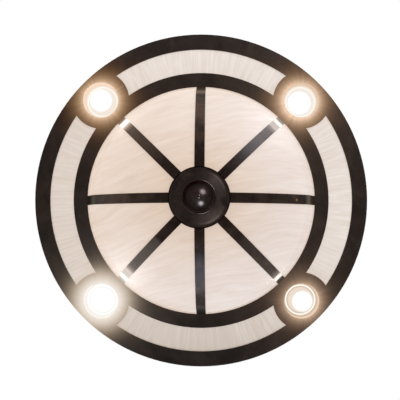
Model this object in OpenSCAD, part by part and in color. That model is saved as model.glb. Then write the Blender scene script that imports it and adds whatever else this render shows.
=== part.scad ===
// Semi-flush ceiling light: a round bronze frame with four recessed downlights, four curved
// diffuser panels and a diffuser bowl held in a cage of eight straps.
// Millimetres, +Z up. The origin is the centre of the crossbar's top face, against the ceiling.

/* [Frame] */
// Outside diameter of the side band
fixture_d = 914; // [900:1:940]
// Ceiling to the underside of the frame plate
drop = 265; // [250:1:300]
// Height of the side band
band_h = 165; // [158:1:190]
// Thickness of the side band
band_t = 2; // [1.5:0.1:3]
// Radius of the rolled bead along the band's top edge
band_bead_r = 3; // [2:0.1:4]
// Thickness of the frame plate
plate_t = 3; // [2:0.1:4]
// Joint line between the plate and the band
plate_joint = 0.4; // [0.2:0.1:0.8]
// Width of the outer ring, from the outside of the band
outer_ring_w = 41.3; // [38:0.1:46]
// Width of the inner ring
inner_ring_w = 37.9; // [36:0.1:42]

/* [Downlights] */
// Radius of the round pad in the plate at each downlight
pad_r = 79; // [76:1:82]
// Gap between each reflector lamp and its aperture
lamp_play = 1.5; // [1:0.1:2.5]
// Sheet thickness of the downlight cans
can_t = 1.2; // [0.8:0.1:1.5]
// Gap between the can's foot flange and the side band
can_band_gap = 3.1; // [1:0.1:6]
// Gap between the can's top and the arm above it
can_gap = 5; // [3:0.5:8]
// Diameter of the reflector lamp
lamp_d = 95; // [90:0.5:95.5]
// Length of the reflector lamp over its base
lamp_len = 92; // [88:1:94]
// Depth of the lamp's face above the underside of the plate
lamp_recess = 22; // [16:1:26]

/* [Bowl and cage] */
// Depth of the bowl's flat bottom below the underside of the plate
bowl_depth = 142; // [130:1:150]
// Height of the bowl's leaning side below the plate
side_drop = 36; // [24:1:46]
// Wall of the bowl
bowl_t = 3; // [2:0.1:4]
// Radius of the bowl's shoulder
shoulder_r = 20; // [12:1:30]
// Lean of the bowl's side from upright, in degrees
side_lean = 30; // [26:1:34]
// Radius that blends the flat bottom into the round underside
bottom_blend_r = 60; // [40:1:90]
// Drop of the round underside that the flat bottom cuts off
flat_cut = 4.5; // [3.5:0.1:5.5]
// Width of each strap
strap_w = 25.4; // [22:0.1:27]
// Thickness of each strap
strap_t = 3; // [2:0.1:4]
// Gap between the bowl and the straps
strap_gap = 0.6; // [0.5:0.1:1]
// Gap between the straps and the edge of the plate's opening
strap_edge_gap = 0.3; // [0.2:0.1:1]

/* [Hub cap and finial] */
// Thickness of the hub plate
hub_plate_t = 3; // [2:0.1:4]
// Radius of the hub cap
cap_r = 76; // [74:0.5:80]
// Sheet thickness of the hub cap
cap_t = 1.5; // [1:0.1:2]
// Straight side of the hub cap
cap_side_h = 8; // [7:0.5:12]
// Radius of the hub cap's round shoulder
cap_shoulder_r = 16; // [12:0.5:20]
// Slope of the hub cap's underside, in degrees
cap_slope = 10; // [6:1:14]
// Radius of the finial's bead
finial_r = 42.5; // [40:0.5:44]
// Radius of the finial's round bead section
finial_bead_r = 3; // [2:0.1:3.5]
// Height of the finial's dome
finial_dome_h = 24; // [22:0.5:30]
// Wall of the finial's dome
finial_t = 2; // [1.5:0.1:3]
// Radius of the finial's tip
tip_r = 9.5; // [8:0.5:11]
// Radius of the threaded rod that the finial screws on to
rod_r = 4.76; // [4.5:0.01:5]
// Length of thread that the finial holds
finial_thread = 14; // [13.2:0.1:16]

/* [Suspension] */
// Length of the ceiling crossbar
crossbar_l = 124; // [120:1:130]
// Width of the ceiling crossbar
crossbar_w = 24; // [22:1:30]
// Thickness of the ceiling crossbar
crossbar_t = 2.5; // [2:0.1:3]
// Distance between the centres of the crossbar's slots
slot_spacing = 88.9; // [86:0.1:90]
// Length of each slot
slot_l = 26; // [24:0.5:28]
// Width of each slot
slot_w = 5.2; // [4.4:0.1:5.5]
// Outside radius of the mounting nipple
nipple_r = 8.55; // [8:0.05:9]
// Bore radius of the mounting nipple
nipple_bore_r = 6.2; // [5:0.1:6.5]
// Outside radius of the stem
stem_r = 12.7; // [12:0.1:14]
// Radius of the canopy
canopy_r = 80; // [76:1:90]
// Depth of the canopy
canopy_h = 34; // [30:1:38]
// Sheet thickness of the canopy
canopy_t = 1.2; // [0.8:0.1:2]
// Radius of the canopy's round shoulder
canopy_shoulder_r = 12; // [8:1:16]
// Height of the canopy collar
collar_h = 14; // [12:1:16]
// Radius of the canopy collar
collar_r = 18; // [17:0.5:21]
// Radius of the spider hub
spider_r = 60; // [58:1:66]
// Wall of the spider hub
spider_wall = 5; // [4:0.5:6]
// Width and height of the arms' square tube
arm_w = 20; // [18:1:22]
// Wall of the arms' tube
arm_wall = 1.5; // [1.2:0.1:2]
// Distance of the bulbs' centres inside the plate's opening
bulb_inset = 63; // [50:1:80]

/* [Fasteners] */
// Radius of the weld studs
stud_r = 2; // [1.8:0.1:2.2]
// Height of the weld studs above the plate
stud_h = 9; // [8.6:0.1:11]
// Width across the flats of the stud nuts
nut_af = 7; // [6.6:0.1:7.2]
// Height of the stud nuts
nut_h = 3.2; // [2.8:0.1:3.6]
// Gap between a thread and what turns on it
thread_gap = 0.05; // [0.03:0.01:0.1]

/* [Hidden] */
$fn = 96;
eps = 0.01;
hair = 0.02;
seat = 0.3;

// Heights
z_plate = -drop;
z_ptop = z_plate + plate_t;
z_band_top = z_plate + band_h;
z_arm_top = z_band_top - band_bead_r - 1;
z_arm_bot = z_arm_top - arm_w;
z_spider_top = z_arm_top + spider_wall;
z_spider_bot = z_arm_bot - spider_wall;
z_can_top = z_arm_bot - can_gap;
z_lamp_face = z_plate + lamp_recess;
z_lamp_top = z_lamp_face + lamp_len;

// Downlights: each can's foot flange has just the width that its nuts need
nut_r = nut_af / sqrt(3);
aperture_r = lamp_d / 2 + lamp_play;
can_r = aperture_r + can_t;
can_flange_r = can_r + 2 * nut_r + 1.7;
can_stud_r = (can_r + can_flange_r) / 2;
can_flange_t = 1.5;
can_stud_count = 3;
band_r = fixture_d / 2;
band_in_r = band_r - band_t;
downlight_circle_r = band_in_r - can_flange_r - can_band_gap;

// Feet of the straps: the bowl's rim, then a nut, between the opening and a can's flange
strap_count = 8;
rim_lap = 8;
nut_play = 1.2;
foot_tail = 7.4;
foot_can_gap = 1;
strap_out = strap_gap + strap_t;
side_inset = strap_edge_gap + strap_out / cos(side_lean) + plate_t * tan(side_lean);
rim_reach = (plate_t + strap_t) * tan(side_lean) + rim_lap - side_inset;
bolt_reach = rim_reach + nut_r + nut_play;
opening_r = downlight_circle_r - can_flange_r - foot_can_gap - bolt_reach - foot_tail;
side_r = opening_r - side_inset;
rim_r = opening_r + rim_reach;
foot_bolt_r = opening_r + bolt_reach;
foot_end_r = foot_bolt_r + foot_tail;

// Rings and windows of the plate
plate_r = band_in_r - plate_joint;
window_out_r = band_r - outer_ring_w;
window_in_r = opening_r + inner_ring_w;
bulb_circle_r = opening_r - bulb_inset;

// Tabs of the band and clips of the panes: places are radii from the fixture's axis
tab_count = 8;
tab_stud_r = band_in_r - 10;
tab_t = 2.5;
tab_w = 20;
tab_reach = 18;
tab_up = 26;
tab_gap = 0.05;
tab_end_r = sqrt(pow(band_in_r - tab_gap, 2) - pow(tab_w / 2, 2));
panel_t = 3;
panel_lap = 9;
clip_t = 1.5;
clip_w = 12;
clip_tongue = 7;
clip_foot = 12;
clip_play = 0.5;
clip_out_deg = 13;
clip_in_deg = 20;
panel_out_r = window_out_r + panel_lap;
panel_in_r = window_in_r - panel_lap;
clip_out_stud_r = panel_out_r + clip_play + clip_t + clip_foot / 2;
clip_in_stud_r = panel_in_r - clip_play - clip_t - clip_foot / 2;

// Angles of what repeats
quarters = [45, 135, 225, 315];
strap_angles = [for (i = [0:strap_count - 1]) i * 360 / strap_count];
tab_angles = [for (i = [0:tab_count - 1]) (i + 0.5) * 360 / tab_count];

// Section of the bowl's underside, as (radius, height): a flat bottom, a blend, a round
// underside, a shoulder and a leaning side, each tangent to the next
z_flat = z_plate - bowl_depth;
side_up = [sin(side_lean), cos(side_lean)];
side_out = [cos(side_lean), -sin(side_lean)];
side_deg = 90 - side_lean;
shoulder_c = [side_r, z_plate] - side_drop / cos(side_lean) * side_up - shoulder_r * side_out;
low = shoulder_c[1] - z_flat + flat_cut;
bowl_r = (pow(shoulder_c[0], 2) + pow(low, 2) - pow(shoulder_r, 2)) / (2 * (low - shoulder_r));
round_z = z_flat + bowl_r - flat_cut;
shoulder_deg = atan2(shoulder_c[0], round_z - shoulder_c[1]);
flat_r = sqrt(2 * flat_cut * (bowl_r - bottom_blend_r) - pow(flat_cut, 2));
blend_c = [flat_r, z_flat + bottom_blend_r];
blend_deg = atan2(blend_c[0], round_z - blend_c[1]);
z_foot_top = z_ptop + strap_t;
z_rim = z_foot_top + seat;
strap_in_r = (strap_w / 2 + 0.2) / tan(180 / strap_count) + 1.5;

// Hub
hub_plate_r = cap_r - cap_t - 10.5;
z_hub_top = z_flat - strap_out;
z_hub_bot = z_hub_top - hub_plate_t;
rod_nut_h = 8;
rod_nut_af = 3 * rod_r;
rod_hole_r = rod_r + 0.3;
rivet_r = 2.5;
rivet_head_r = 4.5;
rivet_head_h = 2;
rivet_circle_r = (strap_in_r + hub_plate_r) / 2;
bowl_hole_r = 9;
gasket_r = 18;
gasket_t = 2;
z_cap_rim = round_z - seat
    - sqrt(pow(bowl_r + strap_out, 2) - pow(cap_r - cap_t, 2) + pow(strap_w / 2, 2));
cap_c = [cap_r - cap_shoulder_r, z_cap_rim - cap_side_h];
cap_tan = cap_c + cap_shoulder_r * [sin(cap_slope), -cos(cap_slope)];
z_cap_bot = cap_tan[1] - (cap_tan[0] - finial_r) * tan(cap_slope);
z_finial = z_cap_bot - 0.2;
finial_base_h = 2 * finial_bead_r;
dome_edge_r = finial_r - finial_bead_r;
dome_r = (pow(dome_edge_r, 2) + pow(finial_dome_h, 2)) / (2 * finial_dome_h);
z_dome = z_finial - finial_base_h;
dome_c = z_dome - finial_dome_h + dome_r;
tip_drop = 3.5;
boss_r = 9;
finial_bore = finial_thread + 2;

// Cans, lamps and bulbs
socket_r = 19;
base_r = 13;
base_bore_r = 13.4;
base_len = 27;
base_grip = 17;
lead_nipple_r = 5;
lead_nipple_bore = 3;
lead_hole_r = 5.2;
z_can_in = z_can_top - can_t;
vent_count = 8;
vent_w = 4;
vent_h = 22;
vent_drop = 4;
lamp_rim_h = 14;
lamp_wall = 2.5;
lens_t = 3;
lens_r = lamp_d / 2 - lamp_wall - 0.2;
bulb_socket_h = 44;
bulb_grip = 22;
bulb_r = 30;
bulb_len = 108;
bulb_wall = 1.5;
bulb_neck_r = 12;
bulb_waist_deg = 37;
z_bulb_top = z_arm_bot - bulb_socket_h + bulb_grip;
z_bulb_c = z_bulb_top - bulb_len + bulb_r;

// Arms
arm_in_r = 33;
arm_plate_t = 4;
arm_plate_w = arm_w + 20;
arm_plate_h = arm_w + 14;
arm_plate_r = sqrt(pow(band_in_r - seat, 2) - pow(arm_plate_w / 2, 2));
arm_end = arm_plate_r - arm_plate_t;
arm_fit = 0.1;
arm_bolt_rs = [arm_in_r + 5, spider_r - 9];
arm_bolt_r = 3;
arm_bolt_af = 10;
arm_bolt_head = 4;
arm_screw_r = 3;
arm_screw_head_r = 5.5;
arm_screw_head_h = 3.3;
arm_screw_side = arm_w / 2 + 4;

// Stem and canopy
locknut_af = 2 * nipple_r + 8;
locknut_h = 6;
nipple_up = 8;
z_nipple_bot = z_spider_top - spider_wall - locknut_h - 1;
z_stem_top = -crossbar_t - locknut_h - 0.2;
z_canopy_bot = -seat - canopy_h;
stem_bore_r = nipple_r + 0.3;
collar_gap = 0.05;
cover_t = 3;
z_cover_bot = z_spider_bot - cover_t;
cover_screw_r = 1.5;
cover_screw_head_r = 2.9;
cover_screw_head_h = 2;
cover_screw_grip = 7;
rod_top = z_spider_bot + rod_nut_h + 2.5;
ground_x = 21;
ground_r = 2;
ground_head_h = 2.4;
set_screw_r = 2;
set_head_r = 4;
set_head_h = 5;
collar_groove = 0.8;
z_collar = z_canopy_bot - seat - collar_h;

// Leads
lead_r = 1.2;
lead_sides = 8;
z_lead = z_arm_bot + arm_wall + lead_r + seat;
lead_y = arm_w / 2 - arm_wall - lead_r - seat;
nipple_stick = 3;
z_lead_over = z_arm_bot + arm_wall + nipple_stick + lead_r + 1;
supply_r = nipple_bore_r - lead_r - seat;

bronze = [0.17, 0.13, 0.11];
steel = [0.7, 0.7, 0.68];
brass = [0.78, 0.6, 0.3];
cream = [0.95, 0.9, 0.84];
porcelain = [0.93, 0.92, 0.9];
lamp_white = [0.98, 0.95, 0.86];

// Point at a radius and an angle
function polar(r, deg) = [r * cos(deg), r * sin(deg)];

// Point on an arc of a section, its angle measured from straight down towards the outside
function on_arc(c, r, deg) = c + r * [sin(deg), -cos(deg)];

// Slice of a disc in a section, between two angles from straight down
module pie(c, r, deg0, deg1) {
    reach = 1.5 * r / cos((deg1 - deg0) / 2);
    intersection() {
        translate(c)
            circle(r = r, $fn = 360);
        polygon([c, on_arc(c, reach, deg0), on_arc(c, reach, deg1)]);
    }
}

// Point on the bowl's leaning side moved out by d, at the height z
function on_side(d, z) =
    let (foot = on_arc(shoulder_c, shoulder_r + d, side_deg))
        foot + (z - foot[1]) / side_up[1] * side_up;

// Everything above the bowl's underside moved out by d, up to the height top. The blend and
// the shoulder stand proud by a hair, so that each round crosses the next one cleanly.
module bowl_region(d, top) {
    polygon([
        [0, top],
        [0, z_flat - d],
        [blend_c[0], z_flat - d],
        on_arc(blend_c, bottom_blend_r + d, blend_deg),
        on_arc(shoulder_c, shoulder_r + d, shoulder_deg),
        on_arc(shoulder_c, shoulder_r + d, side_deg),
        on_side(d, top)
    ]);
    translate(shoulder_c)
        circle(r = shoulder_r + d + hair, $fn = 360);
    intersection() {
        union() {
            translate(blend_c)
                circle(r = bottom_blend_r + d + hair, $fn = 360);
            pie([0, round_z], bowl_r + d, blend_deg, shoulder_deg);
        }
        translate([0, z_flat - d - 1])
            square([band_r, shoulder_c[1] - z_flat]);
    }
}

// Hexagonal nut standing on z, bored for a thread of radius r
module hex_nut(r, af, h) {
    difference() {
        cylinder(r = af / sqrt(3), h = h, $fn = 6);
        translate([0, 0, -1])
            cylinder(r = r + thread_gap, h = h + 2);
    }
}

// Ring between two radii, from z0 to z1
module ring(r_out, r_in, z0, z1) {
    translate([0, 0, z0])
        difference() {
            cylinder(r = r_out, h = z1 - z0);
            translate([0, 0, -1])
                cylinder(r = r_in, h = z1 - z0 + 2);
        }
}

module ceiling_crossbar() {
    color(steel)
        translate([0, 0, -crossbar_t])
            difference() {
                translate([-crossbar_l / 2, -crossbar_w / 2, 0])
                    cube([crossbar_l, crossbar_w, crossbar_t]);
                translate([0, 0, -1])
                    cylinder(r = nipple_r + thread_gap, h = crossbar_t + 2);
                translate([ground_x, 0, -1])
                    cylinder(r = ground_r + thread_gap, h = crossbar_t + 2);
                for (side = [-1, 1])
                    translate([side * slot_spacing / 2, 0, -1])
                        slot_cut(crossbar_t + 2);
            }
}

// Slot with round ends, along X
module slot_cut(h) {
    half = (slot_l - slot_w) / 2;
    for (end = [-1, 1])
        translate([end * half, 0, 0])
            cylinder(d = slot_w, h = h);
    translate([-half, -slot_w / 2, 0])
        cube([2 * half, slot_w, h]);
}

module ground_screw() {
    color([0.2, 0.45, 0.25])
        translate([ground_x, 0, 0]) {
            translate([0, 0, -crossbar_t - eps])
                cylinder(r = ground_r, h = crossbar_t + eps);
            difference() {
                translate([0, 0, -crossbar_t - ground_head_h])
                    cylinder(r = 2 * ground_r, h = ground_head_h);
                translate([-2 * ground_r, -0.5, -crossbar_t - ground_head_h - 1])
                    cube([4 * ground_r, 1, 2]);
            }
        }
}

module mounting_nipple() {
    color(brass)
        ring(nipple_r, nipple_bore_r, z_nipple_bot, nipple_up);
}

// Nuts on the nipple at the crossbar and in the spider hub, and nuts on the centre rod
module lock_nuts() {
    color(steel) {
        for (z = [0, -crossbar_t - locknut_h, z_arm_top - locknut_h])
            translate([0, 0, z])
                hex_nut(nipple_r, locknut_af, locknut_h);
        for (z = [
            z_spider_bot,
            z_cover_bot - rod_nut_h,
            z_flat + bowl_t + gasket_t,
            z_hub_bot - rod_nut_h
        ])
            translate([0, 0, z])
                hex_nut(rod_r, rod_nut_af, rod_nut_h);
    }
}

module stem() {
    color(bronze)
        ring(stem_r, stem_bore_r, z_spider_top, z_stem_top);
}

// Inside or outside of the canopy's bell, grown by d
module canopy_region(d) {
    c = [canopy_r - canopy_t - canopy_shoulder_r, z_canopy_bot + canopy_t + canopy_shoulder_r];
    r = canopy_shoulder_r + d;
    polygon([
        [0, -seat],
        [0, c[1] - r],
        on_arc(c, r, 0),
        on_arc(c, r, 90),
        [c[0] + r, -seat]
    ]);
    pie(c, r, 0, 90);
}

module canopy() {
    color(bronze)
        difference() {
            rotate_extrude()
                difference() {
                    canopy_region(canopy_t);
                    canopy_region(0);
                }
            translate([0, 0, z_canopy_bot - 1])
                cylinder(r = stem_r + 0.5, h = canopy_t + 2);
        }
}

module canopy_collar() {
    color(bronze)
        difference() {
            ring(collar_r, stem_r + collar_gap, z_collar, z_collar + collar_h);
            for (z = [collar_h / 4, collar_h * 3 / 4])
                ring(
                    collar_r + 1, collar_r - collar_groove,
                    z_collar + z - collar_groove, z_collar + z + collar_groove
                );
            translate([0, 0, z_collar + collar_h / 2])
                rotate([0, 90, 0])
                    cylinder(r = set_screw_r + thread_gap, h = collar_r + 1);
        }
}

// Thumb screw that holds the collar on the stem
module collar_screw() {
    color(bronze)
        translate([0, 0, z_collar + collar_h / 2])
            rotate([0, 90, 0]) {
                translate([0, 0, stem_r + collar_gap])
                    cylinder(r = set_screw_r, h = collar_r - stem_r + 1);
                translate([0, 0, collar_r + seat])
                    cylinder(r = set_head_r, h = set_head_h);
            }
}

module spider_hub() {
    color(bronze)
        difference() {
            translate([0, 0, z_spider_bot])
                cylinder(r = spider_r, h = z_spider_top - z_spider_bot);
            translate([0, 0, z_spider_bot - 1])
                cylinder(r = spider_r - spider_wall, h = z_arm_top - z_spider_bot + 1);
            translate([0, 0, z_arm_top - 1])
                cylinder(r = nipple_r + thread_gap, h = spider_wall + 2);
            for (a = quarters)
                rotate([0, 0, a]) {
                    translate([0, -arm_w / 2 - arm_fit, z_arm_bot - arm_fit])
                        cube([spider_r + 1, arm_w + 2 * arm_fit, arm_w + arm_fit]);
                    for (r = arm_bolt_rs)
                        translate([r, 0, z_arm_top - 1])
                            cylinder(r = arm_bolt_r + thread_gap, h = spider_wall + 2);
                }
            for (a = [0, 90, 180, 270])
                rotate([0, 0, a])
                    translate([spider_r - spider_wall / 2, 0, z_spider_bot - 1])
                        cylinder(r = cover_screw_r + thread_gap, h = cover_screw_grip + 2);
        }
}

module hub_cover() {
    color(bronze)
        difference() {
            translate([0, 0, z_cover_bot])
                cylinder(r = spider_r, h = cover_t);
            translate([0, 0, z_cover_bot - 1])
                cylinder(r = rod_r + thread_gap, h = cover_t + 2);
            for (a = [0, 90, 180, 270])
                rotate([0, 0, a])
                    translate([spider_r - spider_wall / 2, 0, z_cover_bot - 1])
                        cylinder(r = cover_screw_r + thread_gap, h = cover_t + 2);
        }
}

module cover_screws() {
    color(steel)
        for (a = [0, 90, 180, 270])
            rotate([0, 0, a])
                translate([spider_r - spider_wall / 2, 0, z_cover_bot]) {
                    cylinder(r = cover_screw_r, h = cover_t + cover_screw_grip);
                    translate([0, 0, -cover_screw_head_h])
                        cylinder(r = cover_screw_head_r, h = cover_screw_head_h);
                }
}

module arm_bolts() {
    color(steel)
        for (a = quarters)
            for (r = arm_bolt_rs)
                rotate([0, 0, a])
                    translate([r, 0, z_spider_top]) {
                        cylinder(r = arm_bolt_af / sqrt(3), h = arm_bolt_head, $fn = 6);
                        translate([0, 0, -spider_wall - arm_wall - 3])
                            cylinder(r = arm_bolt_r, h = spider_wall + arm_wall + 3);
                    }
}

module spider_arm(i) {
    inner = arm_w - 2 * arm_wall;
    z_mid = z_arm_bot + arm_w / 2;
    color(bronze)
        rotate([0, 0, quarters[i - 1]])
            difference() {
                union() {
                    translate([arm_in_r, -arm_w / 2, z_arm_bot])
                        cube([arm_end - arm_in_r, arm_w, arm_w]);
                    translate([arm_end, -arm_plate_w / 2, z_arm_top - arm_plate_h])
                        cube([arm_plate_t, arm_plate_w, arm_plate_h]);
                }
                translate([arm_in_r - 1, -inner / 2, z_arm_bot + arm_wall])
                    cube([arm_end - arm_in_r + 1, inner, inner]);
                for (r = [bulb_circle_r, downlight_circle_r])
                    translate([r, 0, z_arm_bot - 1])
                        cylinder(r = lead_hole_r, h = arm_wall + 2);
                for (r = arm_bolt_rs)
                    translate([r, 0, z_arm_top - arm_wall - 1])
                        cylinder(r = arm_bolt_r + thread_gap, h = arm_wall + 2);
                for (side = [-1, 1])
                    translate([arm_end - 1, side * arm_screw_side, z_mid])
                        rotate([0, 90, 0])
                            cylinder(r = arm_screw_r + thread_gap, h = arm_plate_t + 2);
            }
}

// Round-headed screws through the side band into the arms' end plates
module arm_screws() {
    head_x = sqrt(pow(band_r, 2) - pow(arm_screw_side - arm_screw_head_r, 2));
    color(bronze)
        for (a = quarters)
            for (side = [-1, 1])
                rotate([0, 0, a])
                    translate([0, side * arm_screw_side, z_arm_bot + arm_w / 2])
                        rotate([0, 90, 0]) {
                            translate([0, 0, arm_end - 2])
                                cylinder(r = arm_screw_r, h = head_x - arm_end + 2.5);
                            translate([0, 0, head_x])
                                button_head();
                        }
}

module button_head() {
    head_r = (pow(arm_screw_head_r, 2) + pow(arm_screw_head_h, 2)) / (2 * arm_screw_head_h);
    intersection() {
        translate([0, 0, arm_screw_head_h - head_r])
            sphere(r = head_r);
        cylinder(r = arm_screw_head_r + 1, h = arm_screw_head_h + 1);
    }
}

module side_band() {
    color(bronze) {
        difference() {
            ring(band_r, band_in_r, z_plate, z_band_top);
            for (a = quarters)
                for (side = [-1, 1])
                    rotate([0, 0, a])
                        translate([band_in_r - 5, side * arm_screw_side, z_arm_bot + arm_w / 2])
                            rotate([0, 90, 0])
                                cylinder(r = arm_screw_r + 0.2, h = 10);
        }
        translate([0, 0, z_band_top])
            rotate_extrude()
                translate([band_r - band_bead_r, 0])
                    circle(r = band_bead_r, $fn = 48);
    }
}

// Angle tabs welded inside the band. A stud of the plate comes up through each
module band_tabs() {
    color(bronze)
        for (a = tab_angles)
            rotate([0, 0, a])
                difference() {
                    union() {
                        translate([tab_end_r - tab_reach, -tab_w / 2, z_ptop])
                            cube([tab_reach, tab_w, tab_t]);
                        translate([tab_end_r - tab_t, -tab_w / 2, z_ptop])
                            cube([tab_t, tab_w, tab_up]);
                    }
                    translate([tab_stud_r, 0, z_ptop - 1])
                        cylinder(r = stud_r + 0.3, h = tab_t + 2);
                }
}

// Calls its children once at each stud of the plate: z is the height of what the nut sits on
module at_studs(tab = true, foot = true, can = true, clip = true) {
    if (tab)
        for (a = tab_angles)
            translate(concat(polar(tab_stud_r, a), z_ptop + tab_t))
                children();
    if (foot)
        for (a = strap_angles)
            translate(concat(polar(foot_bolt_r, a), z_foot_top))
                children();
    if (can)
        for (a = quarters)
            for (b = [0:can_stud_count - 1])
                rotate([0, 0, a])
                    translate([downlight_circle_r, 0, z_ptop + can_flange_t])
                        rotate([0, 0, b * 360 / can_stud_count])
                            translate([can_stud_r, 0, 0])
                                children();
    if (clip)
        for (q = [0, 90, 180, 270])
            for (side = [-1, 1]) {
                translate(concat(polar(clip_out_stud_r, q + side * clip_out_deg), z_ptop + clip_t))
                    children();
                translate(concat(polar(clip_in_stud_r, q + side * clip_in_deg), z_ptop + clip_t))
                    children();
            }
}

// Flat plate: two rings joined by a round pad at each downlight
module frame_plate() {
    color(bronze)
        translate([0, 0, z_plate])
            linear_extrude(plate_t)
                difference() {
                    union() {
                        difference() {
                            circle(r = plate_r, $fn = 360);
                            circle(r = window_out_r, $fn = 360);
                        }
                        difference() {
                            circle(r = window_in_r, $fn = 360);
                            circle(r = opening_r, $fn = 360);
                        }
                        intersection() {
                            circle(r = plate_r, $fn = 360);
                            for (a = quarters)
                                translate(polar(downlight_circle_r, a))
                                    circle(r = pad_r, $fn = 180);
                        }
                    }
                    for (a = quarters)
                        translate(polar(downlight_circle_r, a))
                            circle(r = aperture_r);
                    circle(r = opening_r, $fn = 360);
                }
}

// Studs welded to the top of the plate, each as tall as the others
module weld_studs() {
    color(steel) {
        at_studs(foot = false, can = false, clip = false)
            stud(tab_t);
        at_studs(tab = false, can = false, clip = false)
            stud(strap_t);
        at_studs(tab = false, foot = false, clip = false)
            stud(can_flange_t);
        at_studs(tab = false, foot = false, can = false)
            stud(clip_t);
    }
}

// One stud, seen from where its nut sits: the plate's top is down by what it holds
module stud(held_t) {
    translate([0, 0, -held_t])
        cylinder(r = stud_r, h = stud_h);
}

module stud_nuts() {
    color(steel)
        at_studs()
            hex_nut(stud_r, nut_af, nut_h);
}

// Curved pane over one window, with its ends cut round the downlight pads
module diffuser_panel(i) {
    far = 2 * band_r;
    color(cream)
        rotate([0, 0, (i - 1) * 90])
            translate([0, 0, z_ptop])
                linear_extrude(panel_t)
                    difference() {
                        intersection() {
                            difference() {
                                circle(r = panel_out_r, $fn = 360);
                                circle(r = panel_in_r, $fn = 360);
                            }
                            polygon([[0, 0], [far, far], [far, -far]]);
                        }
                        for (side = [-1, 1])
                            translate(polar(downlight_circle_r, side * 45))
                                circle(r = pad_r - panel_lap, $fn = 180);
                    }
}

// Stepped clip: its foot is on the plate and its tongue on the pane, towards +X from the stud
module panel_clip() {
    half = clip_foot / 2;
    difference() {
        union() {
            translate([-half, -clip_w / 2, 0])
                cube([clip_foot, clip_w, clip_t]);
            translate([half - eps, -clip_w / 2, 0])
                cube([clip_t + eps, clip_w, panel_t + clip_t]);
            translate([half, -clip_w / 2, panel_t])
                cube([clip_t + clip_play + clip_tongue, clip_w, clip_t]);
        }
        translate([0, 0, -1])
            cylinder(r = stud_r + 0.3, h = clip_t + 2);
    }
}

module panel_clips() {
    color(steel)
        for (q = [0, 90, 180, 270])
            for (side = [-1, 1]) {
                translate(concat(polar(clip_out_stud_r, q + side * clip_out_deg), z_ptop))
                    rotate([0, 0, q + side * clip_out_deg + 180])
                        panel_clip();
                translate(concat(polar(clip_in_stud_r, q + side * clip_in_deg), z_ptop))
                    rotate([0, 0, q + side * clip_in_deg])
                        panel_clip();
            }
}

// Bent flat bar: a foot on the plate, a side and round run under the bowl, and a pad at the hub
module cage_strap(i) {
    color(bronze)
        rotate([0, 0, strap_angles[i - 1]])
            difference() {
                rotate([90, 0, 0])
                    translate([0, 0, -strap_w / 2])
                        linear_extrude(strap_w) {
                            difference() {
                                bowl_region(strap_out, z_foot_top);
                                bowl_region(strap_gap, z_foot_top + 1);
                                translate([-1, z_hub_top - 1])
                                    square([strap_in_r + 1, bowl_depth]);
                            }
                            polygon([
                                on_side(strap_gap + strap_t / 2, z_ptop),
                                [foot_end_r, z_ptop],
                                [foot_end_r, z_foot_top],
                                on_side(strap_gap + strap_t / 2, z_foot_top)
                            ]);
                        }
                translate([foot_bolt_r, 0, z_ptop - 1])
                    cylinder(r = stud_r + 0.3, h = strap_t + 2);
                translate([rivet_circle_r, 0, z_hub_top - 1])
                    cylinder(r = rivet_r + thread_gap, h = strap_t + 2);
            }
}

// Bowl with a rim that lies over the straps' feet
module bowl_diffuser() {
    color(cream)
        rotate_extrude($fn = 360) {
            difference() {
                bowl_region(0, z_rim + bowl_t);
                bowl_region(-bowl_t, z_rim + bowl_t + 1);
                translate([-1, z_flat - 1])
                    square([bowl_hole_r + 1, bowl_t + 2]);
            }
            polygon([
                on_side(-bowl_t / 2, z_rim),
                [rim_r, z_rim],
                [rim_r, z_rim + bowl_t],
                on_side(-bowl_t / 2, z_rim + bowl_t)
            ]);
        }
}

module bowl_gasket() {
    color([0.1, 0.1, 0.1])
        ring(gasket_r, rod_hole_r, z_flat + bowl_t, z_flat + bowl_t + gasket_t);
}

module hub_plate() {
    color(bronze)
        difference() {
            translate([0, 0, z_hub_bot])
                cylinder(r = hub_plate_r, h = hub_plate_t);
            translate([0, 0, z_hub_bot - 1])
                cylinder(r = rod_r + thread_gap, h = hub_plate_t + 2);
            for (a = strap_angles)
                rotate([0, 0, a])
                    translate([rivet_circle_r, 0, z_hub_bot - 1])
                        cylinder(r = rivet_r + thread_gap, h = hub_plate_t + 2);
        }
}

module hub_rivets() {
    color(bronze)
        for (a = strap_angles)
            rotate([0, 0, a])
                translate([rivet_circle_r, 0, z_hub_bot]) {
                    cylinder(r = rivet_r, h = hub_plate_t + strap_t);
                    translate([0, 0, -rivet_head_h])
                        cylinder(r = rivet_head_r, h = rivet_head_h);
                }
}

module centre_rod() {
    color(steel)
        translate([0, 0, z_finial - finial_thread])
            cylinder(r = rod_r, h = rod_top - z_finial + finial_thread);
}

// Section of the hub cap's bell, moved out by d, with its shoulder proud by a hair
module cap_region(d) {
    r = cap_shoulder_r + d;
    slope_end = on_arc(cap_c, r, cap_slope);
    z_axis = slope_end[1] - slope_end[0] * tan(cap_slope);
    z_end = z_cap_bot - d / cos(cap_slope);
    flat_from = (z_end - z_axis) / tan(cap_slope);
    polygon([
        [0, z_cap_rim],
        [0, z_end],
        [flat_from, z_end],
        slope_end,
        on_arc(cap_c, r, 90),
        [cap_c[0] + r, z_cap_rim]
    ]);
    intersection() {
        translate(cap_c)
            circle(r = r + hair, $fn = 180);
        translate([0, z_end - cap_r])
            square([2 * cap_r, cap_c[1] + 1 - z_end + cap_r]);
    }
}

module hub_cap() {
    color(bronze)
        difference() {
            rotate_extrude()
                difference() {
                    cap_region(0);
                    cap_region(-cap_t);
                }
            translate([0, 0, z_cap_bot - 1])
                cylinder(r = rod_hole_r, h = cap_t + 3);
        }
}

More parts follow.
